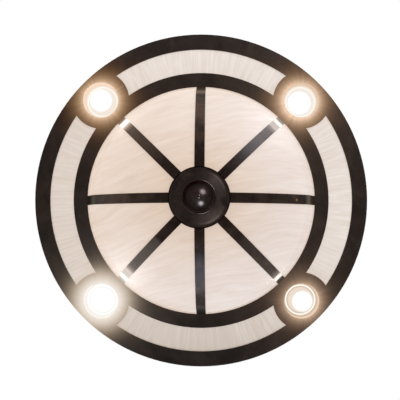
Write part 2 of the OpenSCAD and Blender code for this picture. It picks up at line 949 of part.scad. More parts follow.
// Section of the finial's dome and of the base above it, moved in by d, up to the height z_top
module dome_region(d, z_top) {
    translate([0, z_dome])
        square([dome_edge_r - d, z_top - z_dome]);
    intersection() {
        translate([0, dome_c])
            circle(r = dome_r - d, $fn = 180);
        translate([0, z_dome - 2 * finial_dome_h])
            square([dome_edge_r - d, 2 * finial_dome_h + eps]);
    }
}

// Bead round the finial's base, flat on top
module finial_bead() {
    translate([dome_edge_r, z_finial - finial_bead_r])
        circle(r = finial_bead_r, $fn = 48);
    translate([dome_edge_r - finial_t, z_finial - finial_bead_r])
        square([finial_t + finial_bead_r / 2, finial_bead_r]);
}

// Dome with an open back, a threaded boss inside and a round tip
module finial() {
    z_low = z_dome - finial_dome_h;
    color(bronze)
        difference() {
            union() {
                rotate_extrude()
                    difference() {
                        union() {
                            dome_region(0, z_finial);
                            finial_bead();
                        }
                        difference() {
                            dome_region(finial_t, z_finial + 1);
                            translate([0, z_low - 1])
                                square([boss_r, z_finial - z_low + 1]);
                        }
                    }
                intersection() {
                    translate([0, 0, z_low - tip_drop + tip_r])
                        sphere(r = tip_r);
                    translate([0, 0, z_low - tip_r])
                        cylinder(r = tip_r, h = tip_r + finial_t / 2);
                }
            }
            translate([0, 0, z_finial - finial_bore])
                cylinder(r = rod_r + thread_gap, h = finial_bore + 1);
        }
}

// Moves its children to downlight i
module at_downlight(i) {
    rotate([0, 0, quarters[i - 1]])
        translate([downlight_circle_r, 0, 0])
            children();
}

module downlight_can(i) {
    color(bronze)
        at_downlight(i)
            difference() {
                union() {
                    translate([0, 0, z_ptop])
                        cylinder(r = can_r, h = z_can_top - z_ptop);
                    translate([0, 0, z_ptop])
                        cylinder(r = can_flange_r, h = can_flange_t);
                }
                translate([0, 0, z_ptop - 1])
                    cylinder(r = aperture_r, h = z_can_in - z_ptop + 1);
                translate([0, 0, z_can_in - 1])
                    cylinder(r = lead_hole_r, h = can_t + 2);
                for (b = [0:can_stud_count - 1])
                    rotate([0, 0, b * 360 / can_stud_count])
                        translate([can_stud_r, 0, z_ptop - 1])
                            cylinder(r = stud_r + 0.3, h = can_flange_t + 2);
                for (b = [0:vent_count - 1])
                    rotate([0, 0, (b + 0.5) * 360 / vent_count])
                        translate([can_r - 3 * can_t, -vent_w / 2, z_can_in - vent_h - vent_drop])
                            cube([5 * can_t, vent_w, vent_h]);
            }
}

// Lamp holder with its hollow lead nipple on top
module lamp_holder(z_top, z_mouth, z_lamp, up) {
    difference() {
        union() {
            translate([0, 0, z_mouth])
                cylinder(r = socket_r, h = z_top - z_mouth);
            translate([0, 0, z_top - eps])
                cylinder(r = lead_nipple_r, h = up + eps);
        }
        translate([0, 0, z_mouth - 1])
            cylinder(r = base_bore_r, h = z_lamp - z_mouth + 3);
        translate([0, 0, z_lamp + 1])
            cylinder(r = lead_nipple_bore, h = z_top - z_lamp + up);
    }
}

module downlight_socket(i) {
    color(porcelain)
        at_downlight(i)
            lamp_holder(
                z_can_in, z_lamp_top - base_grip, z_lamp_top,
                can_t + can_gap + arm_wall + nipple_stick
            );
}

// Reflector lamp: a bell with its screw base, and a lens across its mouth
module downlight_lamp(i) {
    r = lamp_d / 2;
    z_rim = z_lamp_face + lamp_rim_h;
    z_neck = z_lamp_top - base_len;
    neck_r = base_r + 6;
    color(lamp_white)
        at_downlight(i) {
            rotate_extrude()
                polygon([
                    [0, z_lamp_top],
                    [base_r, z_lamp_top],
                    [base_r, z_neck],
                    [neck_r, z_neck],
                    [neck_r + 4, z_neck - 12],
                    [r, z_rim],
                    [r, z_lamp_face],
                    [r - lamp_wall, z_lamp_face],
                    [r - lamp_wall, z_rim - 1],
                    [neck_r, z_neck - 10],
                    [0, z_neck - 10]
                ]);
            translate([0, 0, z_lamp_face + 1])
                cylinder(r = lens_r, h = lens_t);
        }
}

module bulb_sockets() {
    color(porcelain)
        for (a = quarters)
            rotate([0, 0, a])
                translate([bulb_circle_r, 0, 0])
                    lamp_holder(
                    z_arm_bot, z_arm_bot - bulb_socket_h, z_bulb_top,
                    arm_wall + nipple_stick
                );
}

// Round bulb: a hollow globe with a neck, and its screw base
module bulb(i) {
    z_neck = z_bulb_top - base_len;
    color(lamp_white)
        rotate([0, 0, quarters[i - 1]])
            translate([bulb_circle_r, 0, 0]) {
                difference() {
                    bulb_glass(0, z_neck);
                    bulb_glass(bulb_wall, z_neck + 1);
                }
                translate([0, 0, z_neck])
                    cylinder(r = base_r, h = base_len);
            }
}

// Globe and neck moved in by d, with the neck's end at z_top
module bulb_glass(d, z_top) {
    z_waist = z_bulb_c + bulb_r * sin(bulb_waist_deg);
    waist_r = bulb_r * cos(bulb_waist_deg);
    translate([0, 0, z_bulb_c])
        sphere(r = bulb_r - d);
    translate([0, 0, z_waist])
        cylinder(r1 = waist_r - d, r2 = bulb_neck_r - d, h = z_top - z_waist);
}

// Tube along a list of points: a ring at each point, square to the run
module lead(points) {
    n = len(points);
    function along(k) = let (d = points[min(k + 1, n - 1)] - points[max(k - 1, 0)]) d / norm(d);
    function across(k) = let (s = cross([0, 1, 0], along(k))) s / norm(s);
    function corner(k, j) =
        let (a = along(k), u = across(k), v = cross(a, u), t = 360 / lead_sides * j)
            points[k] + lead_r * (cos(t) * u + sin(t) * v);
    corners = [for (k = [0:n - 1]) for (j = [0:lead_sides - 1]) corner(k, j)];
    first = [for (j = [0:lead_sides - 1]) j];
    last = [for (j = [lead_sides - 1:-1:0]) (n - 1) * lead_sides + j];
    sides = [
        for (k = [0:n - 2]) for (j = [0:lead_sides - 1])
            let (a = k * lead_sides + j, b = k * lead_sides + (j + 1) % lead_sides)
                [a, a + lead_sides, b + lead_sides, b]
    ];
    polyhedron(points = corners, faces = concat([first, last], sides));
}

// Route along the floor of an arm's tube at the side y, then over the rim of a lamp holder's
// nipple at radius r and down it
function lead_route(r, y, z_end) = [
    [26, y, z_lead],
    [r - 24, y, z_lead],
    [r - 14, 0.8 * y, z_lead + 1],
    [r - 8, 0.5 * y, z_lead_over],
    [r - 3, 0.15 * y, z_lead_over + 0.5],
    [r - 0.6, 0, z_lead_over - 1],
    [r, 0, z_lead_over - 3.5],
    [r, 0, z_end]
];

// Leads to the lamps and bulbs, and the supply leads up the mounting nipple
module lead_wires() {
    color([0.12, 0.12, 0.13]) {
        for (a = quarters)
            rotate([0, 0, a]) {
                lead(lead_route(downlight_circle_r, lead_y, z_can_in - 2));
                lead(lead_route(bulb_circle_r, -lead_y, z_arm_bot - 4));
            }
        for (a = [0, 120, 240])
            translate(concat(polar(supply_r, a), z_nipple_bot + 1))
                cylinder(r = lead_r, h = nipple_up - z_nipple_bot - 1, $fn = 24);
    }
}

ceiling_crossbar();
ground_screw();
mounting_nipple();
lock_nuts();
stem();
canopy();
canopy_collar();
collar_screw();
spider_hub();
hub_cover();
cover_screws();
arm_bolts();
spider_arm(1);  // spider_arm_1
spider_arm(2);  // spider_arm_2
spider_arm(3);  // spider_arm_3
spider_arm(4);  // spider_arm_4
arm_screws();
side_band();
band_tabs();
frame_plate();
weld_studs();
stud_nuts();
diffuser_panel(1);  // diffuser_panel_1
diffuser_panel(2);  // diffuser_panel_2
diffuser_panel(3);  // diffuser_panel_3
diffuser_panel(4);  // diffuser_panel_4
panel_clips();
cage_strap(1);  // cage_strap_1
cage_strap(2);  // cage_strap_2
cage_strap(3);  // cage_strap_3
cage_strap(4);  // cage_strap_4
cage_strap(5);  // cage_strap_5
cage_strap(6);  // cage_strap_6
cage_strap(7);  // cage_strap_7
cage_strap(8);  // cage_strap_8
bowl_diffuser();
bowl_gasket();
hub_plate();
hub_rivets();
centre_rod();
hub_cap();
finial();
downlight_can(1);  // downlight_can_1
downlight_can(2);  // downlight_can_2
downlight_can(3);  // downlight_can_3
downlight_can(4);  // downlight_can_4
downlight_socket(1);  // downlight_socket_1
downlight_socket(2);  // downlight_socket_2
downlight_socket(3);  // downlight_socket_3
downlight_socket(4);  // downlight_socket_4
downlight_lamp(1);  // downlight_lamp_1
downlight_lamp(2);  // downlight_lamp_2
downlight_lamp(3);  // downlight_lamp_3
downlight_lamp(4);  // downlight_lamp_4
bulb_sockets();
bulb(1);  // bulb_1
bulb(2);  // bulb_2
bulb(3);  // bulb_3
bulb(4);  // bulb_4
lead_wires();
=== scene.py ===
# %% [markdown]
# # A semi-flush ceiling light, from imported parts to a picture
#
# The light is a round frame of dark bronze, 914 mm across, with four recessed
# downlights, four curved panes and a shallow bowl in a cage of straps. Its parts
# are made elsewhere as exact solids, and this lesson loads them and gives them
# their finishes. Where a turned or glowing piece needs more than a finish, a
# finer mesh stands in for the plain solid. Lengths are metres, +Z points up to
# the ceiling, and the origin is where the light meets it.

# %% Load the parts
import math
from collections import namedtuple

import bpy
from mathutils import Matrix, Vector


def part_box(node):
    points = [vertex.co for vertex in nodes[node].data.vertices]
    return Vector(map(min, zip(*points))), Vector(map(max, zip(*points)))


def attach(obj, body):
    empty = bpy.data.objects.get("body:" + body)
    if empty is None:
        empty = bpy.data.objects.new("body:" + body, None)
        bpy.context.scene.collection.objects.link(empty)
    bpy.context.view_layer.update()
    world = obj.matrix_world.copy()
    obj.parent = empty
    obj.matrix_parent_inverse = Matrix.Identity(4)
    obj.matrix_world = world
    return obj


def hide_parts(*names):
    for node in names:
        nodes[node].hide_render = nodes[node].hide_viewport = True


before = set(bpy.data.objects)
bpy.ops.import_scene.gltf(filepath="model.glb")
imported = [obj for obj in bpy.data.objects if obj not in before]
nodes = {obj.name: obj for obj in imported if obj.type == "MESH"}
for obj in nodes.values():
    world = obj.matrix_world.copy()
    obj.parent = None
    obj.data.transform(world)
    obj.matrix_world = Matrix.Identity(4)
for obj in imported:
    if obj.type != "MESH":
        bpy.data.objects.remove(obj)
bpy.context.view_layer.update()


def in_mm(*lengths):
    """Lengths in metres as millimetres, to a tenth."""
    return [round(length * 1000, 1) for length in lengths]


# %% [markdown]
# ## Where the camera stands
#
# The photograph was taken from below, almost square to the plate. The hub hangs
# nearer to the lens than the plate does, so it looks a little moved and a little
# too large. A camera could be tilted to match, but then the round rings would
# turn into ellipses, and in the photograph they are true circles. So the camera
# looks straight up and its frame is shifted a little, as on a view camera.

# %% Camera
CAMERA_DROP = 1.30
CAMERA_ASIDE = (-0.039, -0.063)
SENSOR_MM = 36.0
FOCAL_MM = 42.5
FRAME_SHIFT = (-0.0383, 0.0584)

plate_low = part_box("frame_plate")[0]
camera_data = bpy.data.cameras.new("camera")
camera = bpy.data.objects.new("camera", camera_data)
bpy.context.scene.collection.objects.link(camera)
bpy.context.scene.camera = camera
camera.location = (*CAMERA_ASIDE, plate_low.z - CAMERA_DROP)
camera.rotation_euler = (math.pi, 0, math.pi)
camera_data.sensor_width = SENSOR_MM
camera_data.lens = FOCAL_MM
camera_data.shift_x, camera_data.shift_y = FRAME_SHIFT
turned = camera.rotation_euler.to_matrix()
print("camera looks along", [round(v, 3) for v in turned @ Vector((0, 0, -1))])
print("its right side is", [round(v, 3) for v in turned @ Vector((1, 0, 0))])

# %% [markdown]
# ## A white room
#
# The photograph's ground is pure white. More light on the light fitting would
# wash it out, so the white is given only to the rays that the camera sends
# straight out, and to those that come off metal or through glass. What lights
# the pieces is a plainer grey-white room and a pale floor far below them, which
# fades to the same white with distance, so that no horizon shows from the side.
# A few helpers come first. They make and join shader nodes, and wherever they
# take a number they also take a (node, output) pair.

# %% Node helpers
def wire(tree, source, target):
    """Joins a (node, output) pair to a (node, input) pair."""
    tree.links.new(source[0].outputs[source[1]], target[0].inputs[target[1]])


def feed(tree, value, node, socket):
    """Sets a socket to a value, or wires a (node, output) pair to it."""
    if isinstance(value, tuple) and isinstance(value[0], bpy.types.Node):
        wire(tree, value, (node, socket))
    else:
        node.inputs[socket].default_value = value


def add(tree, kind, values=None, **settings):
    """A new shader node: values go into its sockets, settings on the node."""
    node = tree.nodes.new(kind)
    for name, value in settings.items():
        setattr(node, name, value)
    for socket, value in (values or {}).items():
        feed(tree, value, node, socket)
    return node


def maths(tree, operation, a, b=0.0):
    """A Math node."""
    return add(tree, "ShaderNodeMath", {0: a, 1: b}, operation=operation), 0


def spread(tree, source, low, high, to_low, to_high):
    """Maps one range of a value to another, held at both ends."""
    return add(tree, "ShaderNodeMapRange", {0: source, 1: low, 2: high, 3: to_low, 4: to_high}), 0


def seen_rays(tree):
    """1 for the camera's rays and for those off metal or through glass, else 0."""
    path = add(tree, "ShaderNodeLightPath")
    direct = maths(tree, "MAXIMUM", (path, "Is Camera Ray"), (path, "Is Glossy Ray"))
    return maths(tree, "MAXIMUM", direct, (path, "Is Transmission Ray"))


print("helpers: wire, feed, add, maths, spread, seen_rays")

# %% Room light
WHITE = (1.0, 1.0, 1.0)
ROOM_COLOUR = (1.0, 0.985, 0.97)
ROOM_LEVEL = 0.72

world = bpy.data.worlds.new("room")
bpy.context.scene.world = world
world.use_nodes = True
room = world.node_tree
room.nodes.clear()
plain = add(room, "ShaderNodeBackground", {"Color": (*ROOM_COLOUR, 1), "Strength": ROOM_LEVEL})
ground = add(room, "ShaderNodeBackground", {"Color": (*WHITE, 1), "Strength": 1.0})
pick = add(room, "ShaderNodeMixShader", {0: seen_rays(room), 1: (plain, 0), 2: (ground, 0)})
add(room, "ShaderNodeOutputWorld", {"Surface": (pick, 0)})
bpy.context.scene.view_settings.view_transform = "Standard"
print("room level", ROOM_LEVEL)

# %% Floor
FLOOR_Z = -2.45
FLOOR_SIZE = 60
FLOOR_COLOUR = (0.86, 0.855, 0.85)
FLOOR_ROUGH = 0.9
FLOOR_FADE = (1.6, 5.5)


def new_material(name):
    """A material with its node tree and its main shader."""
    material = bpy.data.materials.new(name)
    material.use_nodes = True
    return material, material.node_tree, material.node_tree.nodes["Principled BSDF"]


bpy.ops.mesh.primitive_plane_add(size=FLOOR_SIZE, location=(0, 0, FLOOR_Z))
floor = bpy.context.object
floor.name = "floor"
pale, tree, shader = new_material("pale_floor")
shader.inputs["Base Color"].default_value = (*FLOOR_COLOUR, 1)
shader.inputs["Roughness"].default_value = FLOOR_ROUGH
place = add(tree, "ShaderNodeTexCoord")
far = add(tree, "ShaderNodeVectorMath", {0: (place, "Object")}, operation="LENGTH")
fade = spread(tree, (far, "Value"), *FLOOR_FADE, 0.0, 1.0)
white = add(tree, "ShaderNodeEmission", {"Color": (*WHITE, 1), "Strength": 1.0})
share = maths(tree, "MULTIPLY", fade, seen_rays(tree))
pick = add(tree, "ShaderNodeMixShader", {0: share, 1: (shader, 0), 2: (white, 0)})
wire(tree, (pick, 0), (tree.nodes["Material Output"], "Surface"))
floor.data.materials.append(pale)
print("floor at", FLOOR_Z, "white beyond", FLOOR_FADE[1])

# %% [markdown]
# ## Soft lights for the metal
#
# Dark metal shows its form only by what it mirrors. Two round soft lights stand
# low at two sides, as windows would, and their long glints run along the straps.
# Two weaker, warmer ones lift the other straps. The finial and the cap are small,
# round and steep, so each gets a pair of its own: light linking lets a pair shine
# on that piece alone and keeps the windows off it, as a studio's black cards
# would.

# %% Soft lights
LIT_ALONE = ("finial", "hub_cap")
LIGHT_AIM = Vector((0, 0, -0.45))
SKY_RIGHT = (0.48, 0.72, 1.0)
SKY_LOW = (0.46, 0.70, 1.0)
WARM_WHITE = (1.0, 0.92, 0.84)
COOL_WHITE = (0.92, 0.96, 1.0)
GLINT_RIGHT = (0.78, 0.90, 1.0)
GLINT_LOW = (0.64, 0.84, 1.0)


def soft_light(name, place, size, power, tint, only=None):
    """A round light for one piece only, or for all but those that are lit alone."""
    data = bpy.data.lights.new(name, "AREA")
    data.shape = "DISK"
    data.size = size
    data.energy = power
    data.color = tint
    lamp = bpy.data.objects.new(name, data)
    lamp.location = place
    lamp.rotation_euler = (LIGHT_AIM - Vector(place)).to_track_quat("-Z", "Y").to_euler()
    lamp.visible_camera = False
    linked = bpy.data.collections.new(name + "_linked")
    for node in [only] if only else LIT_ALONE:
        linked.objects.link(nodes[node])
    for link in linked.collection_objects:
        link.light_linking.link_state = "INCLUDE" if only else "EXCLUDE"
    lamp.light_linking.receiver_collection = linked
    bpy.context.scene.collection.objects.link(lamp)


soft_light("window_right", (-0.92, 1.14, -1.02), 1.00, 8.5, SKY_RIGHT)
soft_light("window_low", (-0.12, -1.42, -1.10), 1.05, 12.0, SKY_LOW)
soft_light("window_top", (0.08, 1.50, -0.62), 0.70, 2.4, WARM_WHITE)
soft_light("window_left", (1.45, 0.05, -0.66), 0.70, 1.4, WARM_WHITE)
soft_light("glint_right", (-0.36, 0.47, -1.13), 0.50, 9.5, GLINT_RIGHT, "finial")
soft_light("glint_low", (-0.19, -0.63, -1.11), 0.42, 15.0, GLINT_LOW, "finial")
soft_light("sheen_right", (-0.40, 0.43, -1.13), 0.40, 3.0, COOL_WHITE, "hub_cap")
soft_light("sheen_low", (-0.28, -0.50, -1.13), 0.50, 4.0, COOL_WHITE, "hub_cap")

# %% [markdown]
# ## Dark bronze
#
# The frame, straps, cap and arms have an oil-rubbed finish: nearly black, with
# warm brown clouds and a satin sheen. One flat colour would look like plastic.
# Large noise mixes three browns, and together with a fine grain it moves the
# roughness. A faint bump of the same grain breaks the reflections as hand
# rubbing does. The helpers come first: they place, scale and mix such noise.

# %% Value helpers
def total_of(tree, start, *shares):
    """A start value, plus each source times its share."""
    total = start
    for source, share in shares:
        total = maths(tree, "ADD", maths(tree, "MULTIPLY", source, share), total)
    return total


def product(tree, first, *others):
    """Numbers multiplied with each other."""
    for other in others:
        first = maths(tree, "MULTIPLY", first, other)
    return first


def vector(tree, operation, a, b=(0.0, 0.0, 0.0)):
    """A Vector Math node, for colours and places."""
    return add(tree, "ShaderNodeVectorMath", {0: a, 1: b}, operation=operation), 0


def scaled(tree, source, level):
    """A colour or a place times a level."""
    return add(tree, "ShaderNodeVectorMath", {0: source, "Scale": level}, operation="SCALE"), 0


def triple(tree, *parts):
    """Three values as one colour or place."""
    return add(tree, "ShaderNodeCombineXYZ", dict(enumerate(parts))), 0


def object_place(tree):
    """The place on the object, and its x, y and z."""
    place = add(tree, "ShaderNodeTexCoord"), "Object"
    split = add(tree, "ShaderNodeSeparateXYZ", {0: place})
    return place, (split, "X"), (split, "Y"), (split, "Z")


def distance(tree, x, y, centre=(0.0, 0.0)):
    """Distance from an upright line through a centre."""
    dx = maths(tree, "SUBTRACT", x, centre[0])
    dy = maths(tree, "SUBTRACT", y, centre[1])
    return maths(tree, "SQRT", total_of(tree, product(tree, dx, dx), (dy, dy)))


print("helpers: total_of, product, vector, scaled, triple, object_place, distance")

# %% Finish helpers
NOISE_RANGE = (0.3, 0.7)


def ramp(tree, source, stops):
    """A colour ramp from a list of (position, (r, g, b))."""
    node = add(tree, "ShaderNodeValToRGB", {0: source})
    elements = node.color_ramp.elements
    while len(elements) < len(stops):
        elements.new(1.0)
    for element, (position, colour) in zip(elements, stops):
        element.position = position
        element.color = (*colour, 1)
    return node, 0


def ramp_along(tree, length, reach, stops):
    """A ramp from zero length to a reach. Its stops are lengths, each with a colour or a level."""
    colours = [shade if isinstance(shade, tuple) else (shade, shade, shade) for at, shade in stops]
    positions = [at / reach for at, shade in stops]
    return ramp(tree, maths(tree, "DIVIDE", length, reach), list(zip(positions, colours)))


def noise(tree, where, scale, detail=3.0, roughness=0.5, distortion=0.0):
    """Cloudy noise from 0 to 1."""
    values = {"Vector": where, "Scale": scale, "Detail": detail, "Roughness": roughness}
    return add(tree, "ShaderNodeTexNoise", {**values, "Distortion": distortion}), 0


def bump(tree, shader, height, strength, depth):
    """Tilts the surface's shading by a height that varies over it."""
    node = add(tree, "ShaderNodeBump", {"Height": height, "Strength": strength, "Distance": depth})
    wire(tree, (node, 0), (shader, "Normal"))


def tinted(tree, shader, tone):
    """Multiplies the shader's colour by another that varies over the piece."""
    plain_colour = shader.inputs["Base Color"].links[0].from_node, 0
    wire(tree, vector(tree, "MULTIPLY", plain_colour, tone), (shader, "Base Color"))


def roughened(tree, shader, source, low_rough, high_rough):
    """Lets noise move the surface's roughness between two values."""
    wire(tree, spread(tree, source, *NOISE_RANGE, low_rough, high_rough), (shader, "Roughness"))


def glow(tree, shader, colour, strength=1.0):
    """Lets the surface give out a colour of its own."""
    wire(tree, colour, (shader, "Emission Color"))
    shader.inputs["Emission Strength"].default_value = strength


def dress(material, *names):
    """Gives a material to CAD parts by their node names."""
    for name in names:
        data = nodes[name].data
        data.materials.clear()
        data.materials.append(material)


print("helpers: ramp, ramp_along, noise, bump, tinted, roughened, glow, dress")

# %% Bronze
BRONZE_CLOUDS = [(0.32, (0.0185, 0.0135, 0.0118)), (0.52, (0.0280, 0.0195, 0.0165)),
                 (0.74, (0.0440, 0.0290, 0.0230))]
GRAIN_SCALE = 420.0
GRAIN_DRAWN = (0.02, 1.0, 0.02)
GRAIN_BUMP = 0.08
GRAIN_DEPTH = 0.0004
CLOUD_SHARE = 0.6
GRAIN_SHARE = 0.4


def bronze(name, low_rough=0.28, high_rough=0.42, cloud=16.0, tone=WHITE, along=None):
    """Oil-rubbed bronze. along is the direction of a bar whose grain runs lengthwise."""
    material, tree, shader = new_material(name)
    place = add(tree, "ShaderNodeTexCoord"), "Object"
    grain_at = place
    if along is not None:
        turn = add(tree, "ShaderNodeVectorRotate", {0: place, "Angle": -along}, rotation_type="Z_AXIS")
        grain_at = vector(tree, "MULTIPLY", (turn, 0), GRAIN_DRAWN)
    clouds = noise(tree, place, cloud, 4.0, 0.55, 0.6)
    grain = noise(tree, grain_at, GRAIN_SCALE, 2.0, 0.6)
    wire(tree, ramp(tree, clouds, BRONZE_CLOUDS), (shader, "Base Color"))
    tinted(tree, shader, tone)
    shader.inputs["Metallic"].default_value = 1.0
    mixed = total_of(tree, 0.0, (clouds, CLOUD_SHARE), (grain, GRAIN_SHARE))
    roughened(tree, shader, mixed, low_rough, high_rough)
    bump(tree, shader, grain, GRAIN_BUMP, GRAIN_DEPTH)
    return material, tree, shader


bronze_satin = bronze("bronze_satin")[0]
dress(bronze_satin, "stem", "canopy", "canopy_collar", "collar_screw", "spider_hub", "hub_cover",
      "spider_arm_1", "spider_arm_2", "spider_arm_3", "spider_arm_4", "arm_screws", "band_tabs",
      "hub_plate", "hub_rivets")
print("bronze parts dressed")

# %% [markdown]
# ## The plate, with the glow round its lamps
#
# Round each lamp the photograph shows a warm glow on the dark plate, widest at
# one lamp and narrow at the one across from it. It is light scattered from the
# lit lenses, and its red reaches further than its blue. The plate's own material
# adds it as a soft ring of emission round each aperture, one exponential for
# each colour, so that it stays on the plate from every side. Noise that depends
# only on the direction from the lamp breaks it into faint rays, and a wider,
# weaker glow lies under it. The apertures' own edges are kept from mirroring the
# lenses, or they would sparkle.

# %% Lamp places
LAMP_CIRCLE = 0.39192
APERTURE = 0.049
lamp_low, lamp_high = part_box("downlight_lamp_1")
FACE_Z = lamp_low.z


def middle_of(name):
    """The x and y of the middle of a part's box."""
    low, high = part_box(name)
    return (low.x + high.x) / 2, (low.y + high.y) / 2


def along_radius(centre, share):
    """A place on the line from the light's middle through a centre."""
    return centre[0] * share, centre[1] * share


def on_lamp_circle(degrees):
    """The x and y of a place on the circle that the lamps stand on."""
    angle = math.radians(degrees)
    return LAMP_CIRCLE * math.cos(angle), LAMP_CIRCLE * math.sin(angle)


lamp_places = [on_lamp_circle(degrees) for degrees in (45, 135, 225, 315)]
print("lamps in mm:", [in_mm(*centre) for centre in lamp_places])
print("their solids:", [in_mm(*middle_of(f"downlight_lamp_{number}")) for number in range(1, 5)])

# %% Glow of a lamp
Glow = namedtuple("Glow", "tint reaches holds outward wide_share ray_depth")
NO_HOLD = (0.0, 0.0, 0.0)
lamp_glows = [
    Glow((0.70, 0.48, 0.32), (0.0180, 0.0155, 0.0126), NO_HOLD, -0.0025, 0.035, 0.11),
    Glow((0.79, 0.55, 0.39), (0.0165, 0.0148, 0.0125), NO_HOLD, -0.0060, 0.090, 0.11),
    Glow((0.43, 0.29, 0.195), (0.0148, 0.0142, 0.0138), NO_HOLD, 0.0020, 0.085, 0.13),
    Glow((0.81, 0.735, 0.665), (0.0162, 0.0163, 0.0158), (3.7, 2.8, 2.1), -0.0015, 0.080, 0.035)]
WIDE_REACHES = (0.075, 0.070, 0.065)
WIDE_INWARD = 0.91
RAY_SCALE = 8.0
RAY_STEP = 7.0
RAY_RANGE = (0.33, 0.67)
ACROSS = (1.0, 1.0, 0.0)


def past_edge(tree, x, y, centre):
    """How far a place lies outside a circle as large as an aperture."""
    away = maths(tree, "SUBTRACT", distance(tree, x, y, centre), APERTURE)
    return maths(tree, "MAXIMUM", away, 0.0)


def halo(tree, away, tint, reaches, holds=NO_HOLD):
    """Light that falls off in red, green and blue; a hold keeps it level for a while."""
    channels = []
    for level, reach, hold in zip(tint, reaches, holds):
        growth = maths(tree, "EXPONENT", maths(tree, "MULTIPLY", away, 1.0 / reach))
        channels.append(maths(tree, "DIVIDE", level * (1.0 + hold), maths(tree, "ADD", growth, hold)))
    return triple(tree, *channels)


def rays(tree, place, centre, number, depth):
    """A level that changes only with the direction from a lamp, and differs from lamp to lamp."""
    outward = vector(tree, "SUBTRACT", place, (*centre, 0.0))
    outward = vector(tree, "NORMALIZE", vector(tree, "MULTIPLY", outward, ACROSS))
    around = vector(tree, "ADD", scaled(tree, outward, RAY_SCALE), (0.0, 0.0, RAY_STEP * number))
    streak = noise(tree, around, 1.0, 3.0, 0.65)
    return spread(tree, streak, *RAY_RANGE, 1.0 - depth, 1.0 + depth)


print("glows:", len(lamp_glows), "each with a ring, a wide part and rays")

# %% Plate
PLATE_TONE = (1.0, 1.06, 1.10)
PLATE_LIGHT_MIDDLE = 1.12
PLATE_LIGHT_BY_X = -0.30
PLATE_LIGHT_BY_Y_CUBED = 4.2
GLOW_RISE = 0.0025
EDGE_FROM = 0.0002
EDGE_TO = 0.0015
FACE_TOP = plate_low.z + GLOW_RISE

plate_bronze, tree, shader = bronze("plate_bronze", 0.26, 0.38, 16.0, PLATE_TONE)
place, x, y, z = object_place(tree)
# Painted light and shade: the plate's colour is lighter towards +Y and darker towards +X.
tone = total_of(tree, PLATE_LIGHT_MIDDLE, (x, PLATE_LIGHT_BY_X), (product(tree, y, y, y), PLATE_LIGHT_BY_Y_CUBED))
tinted(tree, shader, scaled(tree, WHITE, tone))
light = (0.0, 0.0, 0.0)
nearest = 1.0
for number, (centre, look) in enumerate(zip(lamp_places, lamp_glows), 1):
    nearest = maths(tree, "MINIMUM", distance(tree, x, y, centre), nearest)
    away = past_edge(tree, x, y, along_radius(centre, 1.0 + look.outward / LAMP_CIRCLE))
    ring = halo(tree, away, look.tint, look.reaches, look.holds)
    ring = scaled(tree, ring, rays(tree, place, centre, number, look.ray_depth))
    light = vector(tree, "ADD", ring, light)
    away = past_edge(tree, x, y, along_radius(centre, WIDE_INWARD))
    wide_tint = [look.wide_share * level for level in look.tint]
    light = vector(tree, "ADD", halo(tree, away, wide_tint, WIDE_REACHES), light)
glow(tree, shader, scaled(tree, light, maths(tree, "LESS_THAN", z, FACE_TOP)))
# Painted shade: the base colour and the mirror tint fall to black at each aperture's edge.
dark_aperture_edge = spread(tree, nearest, APERTURE + EDGE_FROM, APERTURE + EDGE_TO, 0.0, 1.0)
tinted(tree, shader, scaled(tree, WHITE, dark_aperture_edge))
wire(tree, scaled(tree, WHITE, dark_aperture_edge), (shader, "Specular Tint"))
dress(plate_bronze, "frame_plate", "side_band")
print("glow up to mm:", in_mm(FACE_TOP))

# %% [markdown]
# ## Cans
#
# Each can is a spun bronze cup, and its wall is washed with its lamp's light:
# brightest beside the lens, a little less at the mouth, and nothing further up.
# Light that bounces about in the narrow gap beside the lens would need many
# samples to look smooth, so the wall's own material gives it out by height.

# %% Cans
CAN_PLAY = 0.0006
WALL_LIT = (FACE_Z + 0.058, FACE_Z + 0.093)
WALL_MOUTH = (FACE_TOP, FACE_Z)
MOUTH_LEVELS = (0.90, 1.16)
wall_tints = [(0.77, 0.58, 0.43), (0.64, 0.46, 0.32), (0.68, 0.51, 0.37), (0.80, 0.74, 0.67)]


def can_finish(number, centre, tint):
    """Bronze can whose wall is lit near its mouth."""
    material, tree, shader = bronze(f"can_bronze_{number}", 0.4, 0.55, 20.0)
    place, x, y, z = object_place(tree)
    inside = maths(tree, "LESS_THAN", distance(tree, x, y, centre), APERTURE + CAN_PLAY)
    lit = spread(tree, z, *WALL_LIT, 1.0, 0.0)
    mouth = spread(tree, z, *WALL_MOUTH, *MOUTH_LEVELS)
    glow(tree, shader, scaled(tree, tint, product(tree, inside, lit, mouth)))
    return material


for number, (centre, tint) in enumerate(zip(lamp_places, wall_tints), 1):
    dress(can_finish(number, centre, tint), f"downlight_can_{number}")
print("cans' light ends between mm:", in_mm(*WALL_LIT))

# %% [markdown]
# ## Cap and finial
#
# The cap is a pressed bell, satin like the frame. The finial has been handled
# and waxed: it is darker and smoother, and shows small bright glints. Its tip
# and its outer ring are painted paler than the slope between them, a painted
# sheen that follows the distance from the axis and not where the lights stand.

# %% Cap and finial
CAP_TONE = (0.92, 0.95, 0.97)
CAP_MIRROR = (0.35, 0.33, 0.32)
FINIAL_TONE = (0.44, 0.43, 0.45)
FINIAL_MIRROR = (0.22, 0.21, 0.21)
FINIAL_REACH = 0.05
finial_sheen_rings = [(0.0, 2.1), (0.005, 3.0), (0.015, 2.7), (0.021, 1.8), (0.028, 1.2), (0.034, 1.0),
                (0.036, 3.0), (0.043, 3.0)]

cap_bronze, tree, shader = bronze("cap_bronze", 0.26, 0.38, 34.0, CAP_TONE)
shader.inputs["Specular Tint"].default_value = (*CAP_MIRROR, 1)
dress(cap_bronze, "hub_cap")
finial_bronze, tree, shader = bronze("finial_bronze", 0.21, 0.27, 40.0, FINIAL_TONE)
place, x, y, z = object_place(tree)
